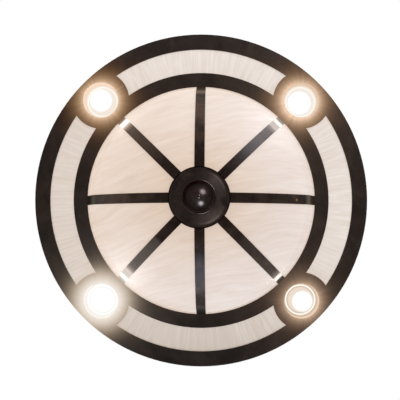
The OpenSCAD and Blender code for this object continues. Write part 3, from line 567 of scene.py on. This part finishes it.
# Painted sheen: the finial's colour is lifted at its tip and outer ring, by distance from the axis.
tinted(tree, shader, ramp_along(tree, distance(tree, x, y), FINIAL_REACH, finial_sheen_rings))
shader.inputs["Specular Tint"].default_value = (*FINIAL_MIRROR, 1)
dress(finial_bronze, "finial")
print("cap and finial dressed")

# %% [markdown]
# ## Straps
#
# Each strap is a flat bar that was drawn through rollers, so its grain runs
# lengthwise. The noise is turned to the bar's own direction and stretched along
# it. The four straps beside the lamps catch their light where they bend, and
# that light is painted by distance from the lamp. The other four only show a
# faint painted highlight across the bend. One strap has a small tan spot where
# the finish has worn through.

# %% Light on the straps
BendLight = namedtuple("BendLight", "side peak_end shelf shelf_end tail far tint")
bend_lights = {
    45: BendLight(0.24, 0.111, 0.50, 0.117, 0.06, 0.008, (1.0, 0.68, 0.46)),
    135: BendLight(0.28, 0.102, 0.60, 0.122, 0.15, 0.010, (1.0, 0.87, 0.84)),
    225: BendLight(0.05, 0.099, 0.22, 0.107, 0.03, 0.012, (1.0, 0.83, 0.70)),
    315: BendLight(0.48, 0.104, 0.68, 0.126, 0.13, 0.040, (1.0, 0.87, 0.78))}
SIDE_AT = 0.084
LIP_AT = 0.090
PEAK_AT = 0.0945
TAIL_AT = 0.160
FAR_AT = 0.240
LIGHT_REACH = 0.25
NO_LIGHT = (0.0, 0.0, 0.0)
FAINT_SHARE = 0.3
PALE_SHARE = 0.65
GLINT_PALE = (0.65, 0.58, 0.52)
GLINT_WHITE = (0.97, 0.95, 0.90)


def lamp_on_strap(tree, x, y, centre, light):
    """A lamp's light on a strap, by distance: a peak at the bend, then a shelf and a tail."""
    fall = [(SIDE_AT, light.side), (LIP_AT, light.side * 1.3), (PEAK_AT, 1.0), (light.peak_end, 1.0),
            (light.peak_end + 0.005, light.shelf), (light.shelf_end, light.shelf),
            (light.shelf_end + 0.006, light.shelf * 0.5), (light.shelf_end + 0.016, light.tail),
            (TAIL_AT, light.tail * 0.7), (FAR_AT, light.far), (LIGHT_REACH, 0.0)]
    level = ramp_along(tree, distance(tree, x, y, centre), LIGHT_REACH, fall)
    faint = tuple(FAINT_SHARE * channel for channel in light.tint)
    colours = [(0.0, NO_LIGHT), (FAINT_SHARE, faint), (PALE_SHARE, GLINT_PALE), (1.0, GLINT_WHITE)]
    return ramp(tree, level, colours)


print("straps beside the lamps at", list(bend_lights), "degrees")

# %% Strap finish
RADIUS_REACH = 1 / 3
STRAP_TONE = (0.92, 0.84, 0.78)
# Painted sheen: the straps' colour is lifted outward from the hub, where they mirror the room.
painted_strap_sheen = [(0.090, (1.0, 1.0, 1.0)), (0.115, (1.45, 1.48, 1.50)), (0.200, (1.42, 1.52, 1.60)),
               (0.240, (1.42, 1.52, 1.60)), (0.270, (1.15, 1.28, 1.38)), (0.310, (1.30, 1.42, 1.52))]
bend_highlight = [(0.278, 0.0), (0.2845, 0.7), (0.2885, 1.0), (0.2945, 0.9), (0.299, 0.35), (0.304, 0.25)]
bend_highlight_tints = {0: (0.038, 0.033, 0.022), 90: (0.140, 0.105, 0.078), 180: (0.078, 0.059, 0.043),
              270: (0.034, 0.027, 0.022)}
WORN_STRAP = 180
WORN_SPOT = (-0.2512, -0.0020)
WORN_EDGE = (0.0016, 0.0046)
WORN_COLOUR = (0.20, 0.115, 0.06, 1.0)


def mix_colours(tree, share, first, second):
    """Goes from the first colour to the second as the share goes from 0 to 1."""
    return add(tree, "ShaderNodeMix", {0: share, 6: first, 7: second}, data_type="RGBA"), 2


def strap_finish(number):
    """Grained bronze for one strap, with the light on its bend; also gives its direction."""
    middle = middle_of(f"cage_strap_{number}")
    along = math.atan2(middle[1], middle[0])
    direction = round(math.degrees(along)) % 360
    material, tree, shader = bronze(f"strap_bronze_{number}", 0.24, 0.38, 30.0, STRAP_TONE, along)
    place, x, y, z = object_place(tree)
    radius = distance(tree, x, y)
    tinted(tree, shader, ramp_along(tree, radius, RADIUS_REACH, painted_strap_sheen))
    if direction in bend_lights:
        beside = lamp_places[list(bend_lights).index(direction)]
        glow(tree, shader, lamp_on_strap(tree, x, y, beside, bend_lights[direction]))
    else:
        # Painted highlight: a faint glowing band across the bend of a strap that has no lamp beside it.
        painted_highlight = ramp_along(tree, radius, RADIUS_REACH, bend_highlight)
        glow(tree, shader, vector(tree, "MULTIPLY", painted_highlight, bend_highlight_tints[direction]))
    if direction == WORN_STRAP:
        worn = spread(tree, distance(tree, x, y, WORN_SPOT), *WORN_EDGE, 1.0, 0.0)
        plain_colour = shader.inputs["Base Color"].links[0].from_node, 0
        wire(tree, mix_colours(tree, worn, plain_colour, WORN_COLOUR), (shader, "Base Color"))
    return material, direction


directions = []
for number in range(1, 9):
    material, direction = strap_finish(number)
    dress(material, f"cage_strap_{number}")
    directions.append(direction)
print("strap directions:", directions)

# %% [markdown]
# ## Streaked, back-lit bowl
#
# The diffusers look like thin alabaster: cream, with fine tan and white strokes
# that all run one way across the bowl. They glow from the bulbs behind them. The
# strokes come from noise that is stretched along slightly curved lines, and the
# same colours feed both the surface and a moderate emission, so the pieces look
# lit in the photograph's room and still look like glass in another light.

# %% Stroke and glow helpers
stroke_layers = [(16.0, 150.0, 0.36, 3.0), (9.0, 62.0, 0.40, 3.0), (3.5, 20.0, 0.24, 2.0)]
BASE_SHARE = 0.40
GLOW_SHARE = 0.62
DIFFUSER_ROUGH = 0.6
DIFFUSER_GLOSS = 0.22
STROKE_DEPTH = 0.0008


def strokes(tree, x, line):
    """Short strokes that follow the lines on which line has one value, in three sizes."""
    total = 0.0
    for lengthwise, crosswise, share, detail in stroke_layers:
        at = triple(tree, maths(tree, "MULTIPLY", x, lengthwise), maths(tree, "MULTIPLY", line, crosswise))
        total = total_of(tree, total, (noise(tree, at, 1.0, detail, 0.55, 0.5), share))
    return total


def glow_through(tree, shader, colour, extra=NO_LIGHT):
    """Feeds one colour to the surface and to its emission, with extra light in places."""
    wire(tree, scaled(tree, colour, BASE_SHARE), (shader, "Base Color"))
    glow(tree, shader, vector(tree, "ADD", scaled(tree, colour, GLOW_SHARE), extra))
    shader.inputs["Roughness"].default_value = DIFFUSER_ROUGH
    shader.inputs["Specular IOR Level"].default_value = DIFFUSER_GLOSS


print("stroke sizes:", len(stroke_layers))

# %% Bowl
STROKE_DARK = (0.90, 0.86, 0.82)
LINE_SLOPE = 0.25
LINE_BOW = 0.35
LINE_WANDER = 0.035
GREEN_SHARE = 0.968
GREEN_BY_X = -0.05
BLUE_SHARE = 0.940
BLUE_BY_X = -0.12
LEVEL_MIDDLE = 1.022
LEVEL_BY_X = 0.03
LEVEL_BY_Y = 0.17
BOWL_BUMP = 0.06
# Glass colour and painted light: the bowl is darker and warmer towards the hub, and paler towards its rim
# where the bulbs light it most.
bowl_tone_and_glow = [(0.095, (0.825, 0.680, 0.570)), (0.150, (0.840, 0.712, 0.622)),
              (0.200, (0.860, 0.745, 0.672)), (0.270, (0.885, 0.785, 0.720)),
              (0.300, (0.925, 0.820, 0.750)), (0.318, (0.965, 0.840, 0.750))]
PATCH_COLOUR = (0.92, 0.95, 1.0)
Patch = namedtuple("Patch", "radius reach level")
patches = [Patch(0.288, 0.022, 0.08), Patch(0.270, 0.055, 0.09), Patch(0.288, 0.020, 0.06),
           Patch(0.275, 0.040, 0.22)]

bowl_glass, tree, shader = new_material("bowl_glass")
place, x, y, z = object_place(tree)
wander = noise(tree, place, 6.0, 2.0, 0.5)
line = total_of(tree, y, (x, LINE_SLOPE), (product(tree, x, x), LINE_BOW), (wander, LINE_WANDER))
streaks = strokes(tree, x, line)
tone = ramp_along(tree, distance(tree, x, y), RADIUS_REACH, bowl_tone_and_glow)
stroke_colour = ramp(tree, streaks, [(0.36, STROKE_DARK), (0.62, WHITE)])
green_share = total_of(tree, GREEN_SHARE, (x, GREEN_BY_X))
blue_share = total_of(tree, BLUE_SHARE, (x, BLUE_BY_X))
cooler = triple(tree, 1.0, green_share, blue_share)
# Painted light: the bowl's level is lighter towards +Y and a little towards +X.
level = total_of(tree, LEVEL_MIDDLE, (x, LEVEL_BY_X), (y, LEVEL_BY_Y))
glass_colour = vector(tree, "MULTIPLY", vector(tree, "MULTIPLY", tone, stroke_colour), cooler)
glass_colour = scaled(tree, glass_colour, level)
spill = NO_LIGHT
for centre, patch in zip(lamp_places, patches):
    at = along_radius(centre, patch.radius / LAMP_CIRCLE)
    near = maths(tree, "DIVIDE", distance(tree, x, y, at), patch.reach)
    soft = maths(tree, "EXPONENT", product(tree, near, near, -0.5))
    spot = scaled(tree, PATCH_COLOUR, maths(tree, "MULTIPLY", soft, patch.level))
    spill = vector(tree, "ADD", spot, spill)
glow_through(tree, shader, glass_colour, spill)
bump(tree, shader, streaks, BOWL_BUMP, STROKE_DEPTH)
dress(bowl_glass, "bowl_diffuser")
print("bowl dressed, with light spilled from", len(patches), "lamps")

# %% [markdown]
# ## Panes
#
# The four curved panes are cut from the same glass, but their strokes run
# outwards from the middle of the light. Noise that is read by direction, and
# hardly by distance, draws such lines by itself, with no seam where an angle
# would jump from 360 degrees to 0. The panes are painted paler on one side of
# the light than on the other, as the photograph shows: painted light.

# %% Panes
PANE_TONE = (0.81, 0.728, 0.669)
PANE_STROKE = (0.87, 0.84, 0.80)
PANE_DRIFT = 11.0
PANE_WANDER = 1.6
LEAN_BY_X_CUBED = -0.9
LEAN_BY_Y_CUBED = 2.5
PANE_LEVEL = 1.016
LEVEL_BY_SIDES = 0.22
PANE_GREEN = 0.966
GREEN_BY_LEAN = 0.15
PANE_BLUE = 0.932
BLUE_BY_LEAN = 0.35
PANE_BUMP = 0.025
pane_layers = [(120.0, 0.45), (46.0, 0.35), (14.0, 0.20)]

pane_glass, tree, shader = new_material("pane_glass")
place, x, y, z = object_place(tree)
wander = noise(tree, place, 9.0, 2.0, 0.5)
direction = vector(tree, "NORMALIZE", vector(tree, "MULTIPLY", place, ACROSS))
drift = total_of(tree, 0.0, (distance(tree, x, y), PANE_DRIFT), (wander, PANE_WANDER))
drift = triple(tree, 0.0, 0.0, drift)
streaks = 0.0
for round_scale, share in pane_layers:
    at = vector(tree, "ADD", scaled(tree, direction, round_scale), drift)
    streaks = total_of(tree, streaks, (noise(tree, at, 1.0, 3.0, 0.55, 0.4), share))
stroke_colour = ramp(tree, streaks, [(0.38, PANE_STROKE), (0.60, WHITE)])
x_cubed = product(tree, x, x, x)
y_cubed = product(tree, y, y, y)
# Painted light: the panes are lighter towards +Y, darker towards +X, lighter on the X sides than the Y
# sides, and warmer where darker.
lean = total_of(tree, 0.0, (x_cubed, LEAN_BY_X_CUBED), (y_cubed, LEAN_BY_Y_CUBED))
sides = maths(tree, "SUBTRACT", product(tree, x, x), product(tree, y, y))
level = total_of(tree, PANE_LEVEL, (lean, 1.0), (sides, LEVEL_BY_SIDES))
green_share = total_of(tree, PANE_GREEN, (lean, GREEN_BY_LEAN))
blue_share = total_of(tree, PANE_BLUE, (lean, BLUE_BY_LEAN))
warmer = triple(tree, 1.0, green_share, blue_share)
pane_colour = vector(tree, "MULTIPLY", vector(tree, "MULTIPLY", stroke_colour, PANE_TONE), warmer)
glow_through(tree, shader, scaled(tree, pane_colour, level))
bump(tree, shader, streaks, PANE_BUMP, STROKE_DEPTH)
dress(pane_glass, *[f"diffuser_panel_{i}" for i in range(1, 5)])
print("panes dressed")

# %% [markdown]
# ## Hardware out of sight
#
# Above the plate the light is plain hardware: zinc-plated nuts, studs and clips,
# a brass nipple, a green ground screw, porcelain lamp holders and black leads.
# These pieces are small, so each finish is one simple material whose noise gives
# it the slight unevenness of plating, casting or glaze.

# %% Plain finishes
FINE_DEPTH = 0.0003


def finish(name, dark, light, scale, metallic, low_rough, high_rough, bump_strength=0.05):
    """A finish of two close colours, with roughness that follows the same noise."""
    material, tree, shader = new_material(name)
    place = add(tree, "ShaderNodeTexCoord"), "Object"
    cloud = noise(tree, place, scale, 3.0, 0.55)
    wire(tree, ramp(tree, cloud, [(0.35, dark), (0.65, light)]), (shader, "Base Color"))
    roughened(tree, shader, cloud, low_rough, high_rough)
    shader.inputs["Metallic"].default_value = metallic
    bump(tree, shader, cloud, bump_strength, FINE_DEPTH)
    return material


zinc = finish("zinc_plate", (0.45, 0.45, 0.44), (0.62, 0.62, 0.60), 60, 1.0, 0.28, 0.42)
brass = finish("brass", (0.55, 0.38, 0.15), (0.72, 0.52, 0.23), 45, 1.0, 0.24, 0.38)
green = finish("green_screw", (0.02, 0.11, 0.035), (0.04, 0.19, 0.07), 80, 0.6, 0.3, 0.45)
porcelain = finish("porcelain", (0.74, 0.72, 0.68), (0.84, 0.82, 0.79), 30, 0.0, 0.12, 0.2)
rubber = finish("rubber", (0.012, 0.012, 0.012), (0.03, 0.03, 0.03), 200, 0.0, 0.6, 0.8, 0.2)
insulation = finish("insulation", (0.01, 0.01, 0.011), (0.02, 0.02, 0.022), 90, 0.0, 0.35, 0.5)
dress(zinc, "ceiling_crossbar", "cover_screws", "arm_bolts", "weld_studs", "stud_nuts",
      "panel_clips", "centre_rod", "lock_nuts")
dress(brass, "mounting_nipple")
dress(green, "ground_screw")
dress(porcelain, "bulb_sockets", *[f"downlight_socket_{i}" for i in range(1, 5)])
dress(rubber, "bowl_gasket")
dress(insulation, "lead_wires")
print("hardware dressed")

# %% [markdown]
# ## Turned pieces: reflector lamps and round bulbs
#
# A lamp is a turned form, so its mesh is a profile spun round an axis. Blender's
# Screw modifier could do that too, but a screw base needs a thread that climbs
# as it goes round, and that is easiest when the code places each ring's points.

# %% Lathe
Thread = namedtuple("Thread", "low high pitch depth")


def thread_cut(thread, z, turn):
    """How deep a thread is cut at a height and a share of a turn; it starts and ends softly."""
    if not thread or not thread.low < z < thread.high:
        return 0.0
    ease = min(1.0, (z - thread.low) / thread.pitch, (thread.high - z) / thread.pitch)
    return thread.depth * ease * (0.5 - 0.5 * math.cos(2 * math.pi * (z / thread.pitch - turn)))


def spin(name, profile, sides=96, thread=None):
    """Spins (radius, height) points round Z, with a screw thread if one is given."""
    verts, faces = [], []
    for r, z in profile:
        for k in range(sides):
            angle = 2 * math.pi * k / sides
            cut_r = r - thread_cut(thread, z, k / sides)
            verts.append((cut_r * math.cos(angle), cut_r * math.sin(angle), z))
    for i in range(len(profile) - 1):
        for k in range(sides):
            a, b = i * sides + k, i * sides + (k + 1) % sides
            faces.append((a, b, b + sides, a + sides))
    mesh = bpy.data.meshes.new(name)
    mesh.from_pydata(verts, [], faces)
    mesh.validate()
    mesh.polygons.foreach_set("use_smooth", [True] * len(mesh.polygons))
    piece = bpy.data.objects.new(name, mesh)
    bpy.context.scene.collection.objects.link(piece)
    return piece


def arc(cx, cz, r, start, end, steps):
    """Points on an arc of a profile, angles in degrees from +radius towards +Z."""
    angles = [math.radians(start + (end - start) * i / steps) for i in range(steps + 1)]
    return [(cx + r * math.cos(angle), cz + r * math.sin(angle)) for angle in angles]


def bezier(p0, p1, p2, p3, steps):
    """Points on a cubic curve, its first point left out."""
    points = []
    for i in range(1, steps + 1):
        t = i / steps
        weights = ((1 - t) ** 3, 3 * t * (1 - t) ** 2, 3 * t * t * (1 - t), t ** 3)
        pairs = list(zip(weights, (p0, p1, p2, p3)))
        points.append(tuple(sum(weight * point[axis] for weight, point in pairs) for axis in (0, 1)))
    return points


print("helpers: thread_cut, spin, arc, bezier")

# %% Screw base
BASE_R = 0.013
BASE_LEN = 0.027
BASE_SIDES = 72
LIP_R = BASE_R + 0.0002
SHELL_FROM = 0.0015
SHELL_STEP = 0.0005
SHELL_STEPS = 36
THREAD_FROM = 0.002
THREAD_TO = 0.0195
THREAD_PITCH = 0.0036
THREAD_DEPTH = 0.0009


def base_profile(start):
    """A base from its lip at height start: threaded shell, black insulator and contact."""
    lip = [(BASE_R - 0.0008, start - 0.001), (LIP_R, start - 0.0006), (LIP_R, start + 0.0006)]
    shell = [(BASE_R, start + SHELL_FROM + SHELL_STEP * i) for i in range(SHELL_STEPS + 1)]
    insulator = [(BASE_R - 0.0012, start + 0.0206), (0.0062, start + 0.0246), (0.0050, start + 0.0249)]
    contact = [(0.0046, start + 0.0262), (0.0030, start + BASE_LEN), (0.0, start + BASE_LEN)]
    return lip + shell + insulator + contact


def screw_base(name, start):
    """A turned base whose lip is at height start."""
    thread = Thread(start + THREAD_FROM, start + THREAD_TO, THREAD_PITCH, THREAD_DEPTH)
    return spin(name, base_profile(start), BASE_SIDES, thread)


def stand_in(pieces, place, node, body):
    """Puts finer pieces in a part's place, on the body that it rides on."""
    for piece in pieces:
        piece.location = place
        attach(piece, body)
        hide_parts(node)


print("thread turns:", round((THREAD_TO - THREAD_FROM) / THREAD_PITCH, 1))

# %% Reflector lamps
LAMP_LEN = lamp_high.z - lamp_low.z
LAMP_R = (lamp_high.x - lamp_low.x) / 2
NECK = LAMP_LEN - BASE_LEN
LENS_R = 0.0366
LENS_BULGE = 0.0042
ROLL_R = 0.0018
FLARE_FROM = 0.0135

dome_r = (LENS_R ** 2 + LENS_BULGE ** 2) / (2 * LENS_BULGE)
dome_end = math.degrees(math.asin(LENS_R / dome_r))
lens = arc(0, dome_r, dome_r, -90, -90 + dome_end, 14)
groove = [(0.0373, 0.0050), (0.0381, 0.0050)]
bead = [(0.0391, 0.0046)] + arc(0.0409, 0.0038, 0.0016, -165, -15, 8) + [(0.0430, 0.0043)]
roll = arc(LAMP_R - ROLL_R, 0.0030, ROLL_R, -165, 0, 8) + [(LAMP_R, FLARE_FROM)]
flare = bezier((LAMP_R, FLARE_FROM), (LAMP_R, 0.0230), (0.0200, 0.0400), (0.0190, NECK - 0.006), 18)
neck = [(0.0180, NECK - 0.002), (BASE_R + 0.0006, NECK - 0.0004), (BASE_R - 0.001, NECK - 0.0004)]

lamps = []
for number, centre in enumerate(lamp_places, 1):
    glass = spin(f"lamp_glass_{number}", lens + groove + bead + roll + flare + neck)
    base = screw_base(f"lamp_base_{number}", NECK)
    stand_in((glass, base), (*centre, FACE_Z), f"downlight_lamp_{number}", f"lamp_{number}")
    lamps.append((glass, base))
print("lamp radius, length and face in mm:", in_mm(LAMP_R, LAMP_LEN, FACE_Z))
print("lamps made:", len(lamps), "with", len(lamps[0][0].data.polygons), "faces of glass each")

# %% [markdown]
# ## The lamps' glass
#
# A lit reflector lamp is far brighter in the middle of its lens than at the
# edge. The emission's colour follows the distance from the axis, and its
# strength is one high number on the shader, so that the lens also lights the
# straps and the bowl beside it, as the real one does. Round its hot core the
# lens shows pale rings: a groove, a bead and the rolled rim. In the photograph
# the four cores differ in size and lie a little off their lamps' middles, so
# each lamp has a look of its own. The lens has a dark colour where it glows,
# because light from its own core would wash the rings out, and the body above
# it is white.

# %% Lens finish
LENS_POWER = 22.0
LENS_SHARE = 0.84
LENS_REACH = 0.05
LENS_GLOSS = 0.1
CORE_MIDDLE = (1.0, 1.0, 1.0)
CORE_EDGE = (1.0, 0.99, 0.97)
CORE_FRINGE = (1.25, 1.15, 1.05)
FACE_DARK = (0.055, 0.054, 0.052)
FACE_PALE = (0.075, 0.073, 0.070)
GLOW_HEIGHTS = (0.007, 0.020)
BODY_HEIGHTS = (0.012, 0.022)
BODY_TIMES = 9.0
ring_radii = {"edge": (0.0, 0.0340), "groove": (0.0366, 0.0382), "bead": (0.0400, 0.0416),
              "roll": (0.0438, 0.0455), "rim": (0.0472,)}
LensLook = namedtuple("LensLook", "middle core skirt edge groove bead roll rim")


def lens_light(colour):
    """A colour as the share of the lens's power that shows it."""
    return tuple(LENS_SHARE * level / LENS_POWER for level in colour)


def lens_finish(name, look):
    """Frosted lens of a lit lamp: a hot core round its own middle, then paler rings out to the rim."""
    material, tree, shader = new_material(name)
    place, x, y, z = object_place(tree)
    hot = [(0.0, CORE_MIDDLE), (look.core, CORE_EDGE), (look.core + 0.0025, lens_light(CORE_FRINGE)),
           (look.core + 0.0070, lens_light(look.skirt)), (look.core + 0.0180, NO_LIGHT)]
    rings = [(radius, lens_light(getattr(look, ring)))
             for ring, radii in ring_radii.items() for radius in radii]
    core_light = ramp_along(tree, distance(tree, x, y, look.middle), LENS_REACH, hot)
    ring_light = ramp_along(tree, distance(tree, x, y), LENS_REACH, rings)
    light = vector(tree, "MAXIMUM", core_light, ring_light)
    glow(tree, shader, scaled(tree, light, spread(tree, z, *GLOW_HEIGHTS, 1.0, 0.0)), LENS_POWER)
    frost = noise(tree, place, 900.0, 2.0, 0.6)
    face = ramp(tree, frost, [(0.3, FACE_DARK), (0.7, FACE_PALE)])
    body = spread(tree, z, *BODY_HEIGHTS, 1.0, BODY_TIMES)
    wire(tree, scaled(tree, face, body), (shader, "Base Color"))
    roughened(tree, shader, frost, 0.50, 0.62)
    shader.inputs["Specular IOR Level"].default_value = LENS_GLOSS
    bump(tree, shader, frost, 0.02, FINE_DEPTH)
    return material


lens_looks = [
    LensLook((0.0046, 0.0046), 0.0255, (1.04, 0.97, 0.89), (1.03, 0.91, 0.79), (1.01, 0.91, 0.79),
             (1.15, 1.08, 1.00), (0.97, 0.84, 0.70), (0.85, 0.68, 0.54)),
    LensLook((0.0030, -0.0024), 0.0270, (1.03, 0.96, 0.89), (1.01, 0.92, 0.82), (1.03, 0.95, 0.86),
             (1.15, 1.07, 0.98), (0.95, 0.82, 0.71), (0.76, 0.61, 0.48)),
    LensLook((-0.0055, -0.0042), 0.0225, (1.02, 0.93, 0.83), (0.95, 0.80, 0.66), (0.70, 0.57, 0.45),
             (1.30, 1.20, 1.06), (0.68, 0.54, 0.43), (0.56, 0.41, 0.30)),
    LensLook((0.0005, -0.0005), 0.0285, (1.06, 1.05, 1.02), (1.06, 1.06, 1.03), (1.07, 1.07, 1.05),
             (1.13, 1.13, 1.10), (1.04, 1.02, 0.98), (0.91, 0.88, 0.84))]
for number, ((glass, base), look) in enumerate(zip(lamps, lens_looks), 1):
    glass.data.materials.append(lens_finish(f"lens_{number}", look))
print("lens power", LENS_POWER)

# %% [markdown]
# ## Screw bases
#
# A base has three finishes on one turned piece: a nickel-plated shell, a black
# insulator and a nickel contact at the tip. They could be three materials on
# three sets of faces. Here the distance from the axis tells them apart, so one
# material serves all the bases.

# %% Screw base finish
SHELL_BEYOND = 0.0112
CONTACT_WITHIN = 0.0052
INSULATOR_BLACK = (0.018, 0.018, 0.02, 1.0)
NICKEL_DARK = (0.50, 0.48, 0.44)
NICKEL_PALE = (0.66, 0.64, 0.59)

base_metal, tree, shader = new_material("screw_base")
place, x, y, z = object_place(tree)
away = distance(tree, x, y)
shell = maths(tree, "GREATER_THAN", away, SHELL_BEYOND)
contact = maths(tree, "LESS_THAN", away, CONTACT_WITHIN)
metal = maths(tree, "MAXIMUM", shell, contact)
cloud = noise(tree, place, 140.0, 3.0, 0.55)
nickel = ramp(tree, cloud, [(0.35, NICKEL_DARK), (0.65, NICKEL_PALE)])
wire(tree, mix_colours(tree, metal, INSULATOR_BLACK, nickel), (shader, "Base Color"))
wire(tree, metal, (shader, "Metallic"))
roughened(tree, shader, cloud, 0.24, 0.38)
for glass, base in lamps:
    base.data.materials.append(base_metal)
print("screw bases dressed")

# %% [markdown]
# ## Round bulbs
#
# Four frosted bulbs hang behind the bowl, one under each arm. Each is a globe
# that narrows to a waist and joins its base, so a circle and one curve draw its
# profile. The glass glows most round its middle, where the filament is, and
# fades towards the neck.

# %% Round bulbs
GLOBE_R = 0.030
WAIST_ANGLE = 37
BULB_SIDES = 72
bulb_low, bulb_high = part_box("bulb_1")
GLOBE_Z = bulb_low.z + GLOBE_R
NECK_UP = bulb_high.z - GLOBE_Z - BASE_LEN

waist = (GLOBE_R * math.cos(math.radians(WAIST_ANGLE)), GLOBE_R * math.sin(math.radians(WAIST_ANGLE)))
bulb_profile = arc(0, 0, GLOBE_R, -90, WAIST_ANGLE, 30)
bulb_profile += bezier(waist, (waist[0] - 0.0072, waist[1] + 0.0096), (0.0124, 0.036),
                       (0.0122, NECK_UP - 0.003), 12)
bulb_profile += [(BASE_R - 0.001, NECK_UP - 0.0004)]
bulbs = []
for number in range(1, 5):
    glass = spin(f"bulb_glass_{number}", bulb_profile, BULB_SIDES)
    base = screw_base(f"bulb_base_{number}", NECK_UP)
    stand_in((glass, base), (*middle_of(f"bulb_{number}"), GLOBE_Z), f"bulb_{number}", "fixture")
    bulbs.append((glass, base))
print("bulbs on a circle of", in_mm(math.hypot(*middle_of("bulb_1"))), "mm")
print("their necks are", in_mm(NECK_UP), "mm above the globe's middle")

# %% Bulb finish
BULB_POWER = 1.1
bulb_glow = [(0.0, (0.80, 0.72, 0.60)), (0.30, (1.0, 0.93, 0.82)), (0.62, (0.62, 0.52, 0.40)),
             (1.0, (0.20, 0.16, 0.12))]
FROST_DARK = (0.66, 0.64, 0.60)
FROST_PALE = (0.76, 0.74, 0.70)

bulb_glass, tree, shader = new_material("bulb_glass")
place, x, y, z = object_place(tree)
glow(tree, shader, ramp(tree, spread(tree, z, -GLOBE_R, NECK_UP, 0.0, 1.0), bulb_glow), BULB_POWER)
frost = noise(tree, place, 700.0, 2.0, 0.6)
wire(tree, ramp(tree, frost, [(0.3, FROST_DARK), (0.7, FROST_PALE)]), (shader, "Base Color"))
roughened(tree, shader, frost, 0.22, 0.34)
bump(tree, shader, frost, 0.06, FINE_DEPTH)
for glass, base in bulbs:
    glass.data.materials.append(bulb_glass)
    base.data.materials.append(base_metal)
print("bulbs dressed:", len(bulbs))
